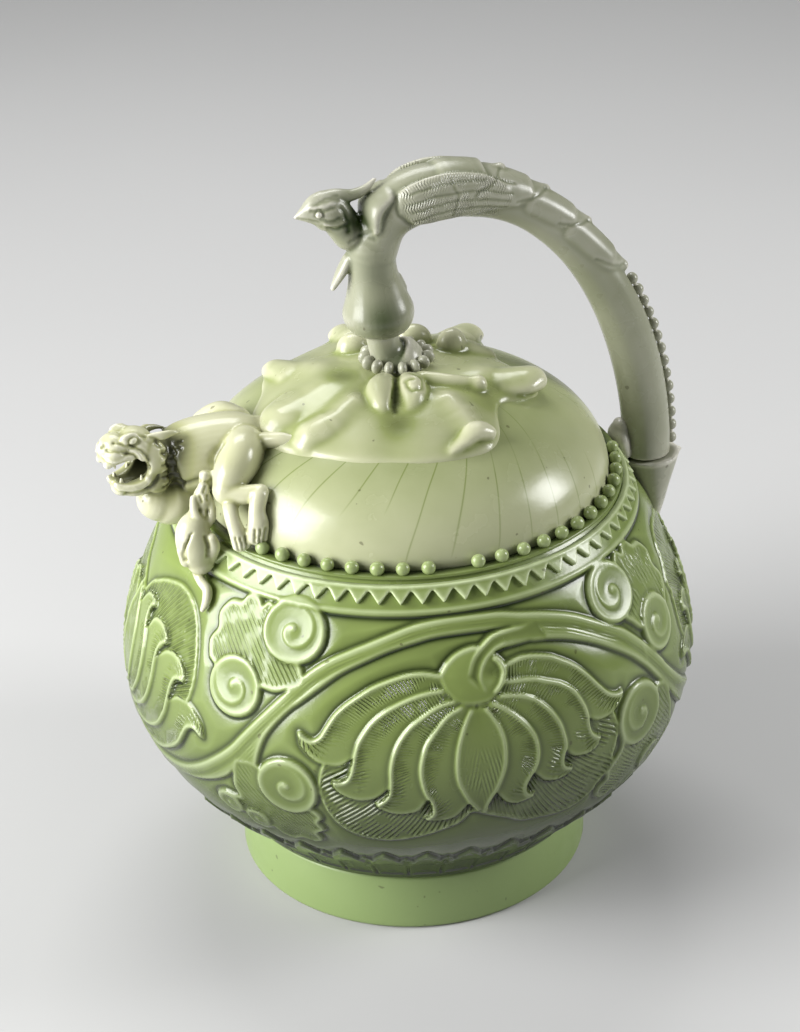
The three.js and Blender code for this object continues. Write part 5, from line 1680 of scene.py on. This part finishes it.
def lioness_strokes(head):
    """Strokes on both sides of the head, in the head's own directions, and then on the body and paws."""
    eye = [(6 + 1.15 * math.cos(a), 3.6, 7.3 + 0.85 * math.sin(a)) for a in np.linspace(0, 2 * math.pi, 9)]
    face = [
        (eye, -0.55, 0.4),
        ([(8.6, 3, 8.9), (6, 3.6, 9), (3.4, 4, 7.8)], 0.35, 0.5),
        ([(10.6, 3, 8), (9, 3.6, 7.2), (7, 4, 6), (5.2, 4.6, 5.4), (3.9, 5, 3.3), (2.2, 5, 0.6)], -0.5, 0.42),
        ([(9.8, 3.4, 7.4), (7.6, 4, 5.8), (5.8, 4.4, 4.4), (4.4, 5, 2.6)], 0.42, 0.45),
        ([(12.4, 2.4, 6.4), (11, 3, 5.6), (9, 4, 5.2), (6.6, 4.4, 4.2), (4.6, 5, 2)], -0.42, 0.4),
        ([(12.6, 1.6, 4.6), (10.8, 3, 3.9), (8.6, 4, 3.9)], 0.3, 0.4),
        ([(12.9, 1.1, 6.6), (12.6, 1.8, 7.2)], -0.7, 0.5),
        ([(2.6, 4.6, -1), (4, 4.8, -3.4), (7, 4, -4.3), (9.6, 2, -4)], 0.3, 0.5),
        ([(1.2, 5.4, -2.4), (3, 5, -5), (6, 4, -6.2), (8.6, 2.6, -6)], -0.45, 0.5),
        ([(3.4, 4, 8.6), (0.6, 5, 6), (-1.4, 5.6, 2), (-2.2, 5, -2), (-1.6, 4.6, -6)], -0.6, 0.8),
    ]
    for k in range(8):
        up = 4.6 - 1.5 * k
        face.append(([(0.2, 6, up), (-2, 6, up - 0.3), (-3.4, 5.6, up - 1)], -0.34 if k % 2 else 0.3, 0.34))
    for k in range(6):
        up = 5.4 - 2.2 * k
        face.append(([(-2.4, 5, up), (-4, 5, up - 0.5), (-5.6, 5, up - 1)], -0.3, 0.4))
    body = [
        (both_sides((-3, -10.6, 13), (2, -11.4, 12.4), (6.4, -9, 11)), -0.7, 1),
        (both_sides((-3, -11.6, 21.4), (-0.6, -12.6, 17.4), (0.6, -15, 13.4)), -0.5, 1.1),
    ]
    for k in (-1, 0, 1):
        hind = (-7.3 + 1.25 * k, -29.4, 7), (-7 + 1.3 * k, -30.4, 5), (-6.8 + 1.3 * k, -30.4, 3)
        fore = (-2.8 + 1.1 * k, -28, 5), (-3 + 1.2 * k, -29.2, 3.2), (-3.1 + 1.2 * k, -29.2, 1.4)
        body += [(both_sides(*hind), -0.45, 0.34), (both_sides(*fore), -0.4, 0.3)]
    strokes = []
    for side in (-1, 1):
        strokes += laid_on(face, lambda forward, aside, up: head(forward, side * aside, up))
    for sides, height, half in body:
        strokes += laid_on([(spots, height, half) for spots in sides], at)
    return strokes


def lioness(glaze):
    head = Pose(at(12, -4.6, 17), 195.6)
    clay = kneaded("lioness_spout", lioness_parts(head), 0.3, lioness_hollows(head), rounds=3)
    clay.draw(*lioness_strokes(head))
    clay.relax(1)
    # Painted shade: the mouth and the pouring way almost black inside, where light does not reach, and
    # painted shadow with pooled glaze behind the head.
    dark_patches = [(head(7, 0, -0.6), 3.4, 1.6), (head(2, 0, -1.4), 4, 1.6), (head(-3.6, 0, 6), 4, 0.7)]
    small = []
    teeth = [((9, 1.9, -4.2, 0.7), (9, 1.9, -2.4, 0.35)), ((4.6, 3.9, -4, 0.9), (4.7, 3.7, -2, 0.3)),
             ((10.6, 2.2, 3, 0.7), (10.4, 2.1, 1, 0.3))]
    for side in (-1, 1):
        # On each side, painted shadow with glaze pooled in the combing of the mane, and painted shadow under
        # the jaw.
        dark_patches += [(head(-4, side * 5, up), 3.4, 0.9) for up in (4, -0.5, -5)]
        dark_patches.append((head(0.6, side * 5.4, -6), 3.4, 0.5))
        small.append(head.ball(6.1, side * 3.9, 7.3, (0.8, 0.7, 0.65)))
        for tooth in teeth:
            stations = [(forward, side * aside, up, radius) for forward, aside, up, radius in tooth]
            small.append(head.limb(stations, steps=3))
    pool_and_shade = clay.with_shade_and_pool_patches(clay.pooling(14, 0.34), *dark_patches)
    nodes = [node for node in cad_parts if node.startswith("lion_")]
    clay.piece(glaze, "figure_glaze", nodes, pool_and_shade=pool_and_shade - 0.2)
    eyes = kneaded("lioness_eyes_and_teeth", small, 0.2)
    eyes.piece(glaze, "figure_glaze", ["lion_head", "lion_jaw"], pool_and_shade=eyes.pooling(6, 0.5) - 0.4)


def cub(glaze):
    def roll(*stations):
        return figure_limb(*stations, across=(1, 0, 0))

    def ear(out):
        return ball(at(out, -15.4, 15.4), (1.3, 1.3, 1.2), segments=24, rings=16)

    parts = [
        roll((4.4, -17.6, 6.6, 2.6, 2.8), (6, -18.6, 3.6, 4.2, 3.8), (6, -19.6, -0.4, 4.4, 4.2),
             (5.2, -20, -4, 3.4, 3.2)),
        roll((5.4, -19, -4.4, 1.5), (6.2, -19.6, -6.6, 1.25), (5.8, -22.2, -8.2, 1.2),
             (5.1, -24.6, -9.2, 1.2), (5.7, -26, -11.2, 1.1), (6.9, -26.2, -13.4, 0.6)),
        roll((2.6, -16.4, 13.2, 1.3, 1.4), (3.1, -16.8, 11.2, 2.1, 2), (3.4, -17.2, 8.8, 2, 1.9),
             (3.8, -17.4, 7, 2, 2)),
        ear(1.9), ear(-0.5),
        roll((0.6, -14.4, 14.6, 2.6, 1.4), (1.4, -15, 13, 2, 1.4)),
        roll((5.3, -17.6, 11.2, 0.9), (5.5, -18.6, 9, 1.1), (5, -19.4, 6.8, 1.3), (5, -19, 5, 1.4)),
        roll((1.7, -17.2, 10.8, 0.9), (1.5, -18, 8.8, 1.1), (1.9, -18.8, 6.6, 1.3), (2.8, -18.6, 5, 1.4)),
        roll((3.4, -20.8, -3, 1.8, 1.8), (2.4, -21.8, 0.2, 1.7, 1.7), (2.6, -22, 2.6, 1.2, 1.2)),
        roll((8.6, -20.4, -3, 1.6, 1.6), (9.4, -20.4, 0, 1.3, 1.3)),
    ]
    clay = kneaded("lion_cub", parts, 0.24, rounds=3)
    strokes = [
        ([(4.8, -18.4, 8), (3.5, -19.4, 7), (2.2, -18.4, 8)], -0.4, 0.5),
        ([(4, -18.6, 12), (3.6, -19, 10.8)], -0.4, 0.35),
        ([(2.2, -18.4, 12), (2.4, -18.8, 10.8)], -0.4, 0.35),
        ([(2.4, -17.4, 13.8), (3, -18.2, 12.6)], -0.3, 0.3),
        ([(4.4, -23, -1), (3.8, -23.4, 1.4), (4, -23, 3.6)], -0.5, 0.5),
    ]
    for k in range(4):
        low = 0.8 * k
        back = [(7.2 + 0.6 * k, -22.4, 5 - low), (8.4 + 0.5 * k, -22, 2 - low), (8.4 + 0.4 * k, -22, -2)]
        strokes.append((back, -0.3, 0.3))
    clay.draw(*laid_on(strokes, at))
    clay.relax(1)
    nodes = [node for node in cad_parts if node.startswith("cub_")]
    clay.piece(glaze, "figure_glaze", nodes, pool_and_shade=clay.pooling(14, 0.3) - 0.25)


def build():
    aim_camera()
    light_studio()
    lay_floor()
    # The body glaze's `low` paints shade on the lower belly, darkest near the foot.
    body_glaze = celadon(
        "body_celadon", (0.5, 0.58, 0.32), (0.215, 0.28, 0.08), (0.008, 0.018, 0.0015), roughness=0.22,
        low=((0.06, 0.09, 0.028), 22, 86), combed=True)
    lid_glaze = celadon(
        "lid_celadon", (0.46, 0.48, 0.29), (0.195, 0.24, 0.07), (0.03, 0.04, 0.006), roughness=0.23,
        hairlines=True)
    # The calyx's glaze is a paler copy of the lid's: the top of the pot is painted lighter, where light falls
    # on it from above.
    calyx_glaze_painted_lighter = celadon(
        "calyx_celadon", (0.58, 0.58, 0.4), (0.26, 0.3, 0.11), (0.03, 0.04, 0.006), roughness=0.23)
    foot_glaze = celadon(
        "foot_celadon", (0.22, 0.3, 0.11), (0.08, 0.135, 0.032), (0.03, 0.06, 0.01), roughness=0.42,
        patches=0.25)
    handle_glaze = celadon(
        "handle_celadon", (0.6, 0.585, 0.5), (0.27, 0.28, 0.19), (0.03, 0.05, 0.01), roughness=0.26,
        combed=True)
    figure_glaze = celadon(
        "figure_celadon", (0.72, 0.71, 0.55), (0.42, 0.43, 0.22), (0.012, 0.013, 0.003), roughness=0.2)
    clay = bare_clay()
    for node in ("filling_tube", "spout_duct"):
        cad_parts[node].data.materials.clear()
        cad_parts[node].data.materials.append(clay)
    belly(body_glaze)
    mock_lid(lid_glaze)
    foot_ring(foot_glaze)
    shoulder_ledge(body_glaze)
    shoulder_pearls(pearl_tree(body_glaze))
    sawtooth_band(body_glaze)
    calyx(calyx_glaze_painted_lighter)
    stem(handle_glaze)
    pearls_of_handle = pearl_tree(handle_glaze)
    stem_collar_pearls(pearls_of_handle)
    bow_pearls(pearls_of_handle)
    phoenix(handle_glaze)
    bow_socket(handle_glaze)
    lioness(figure_glaze)
    cub(figure_glaze)


build()
bpy.context.scene.view_settings.view_transform = "Standard"
bpy.context.view_layer.update()
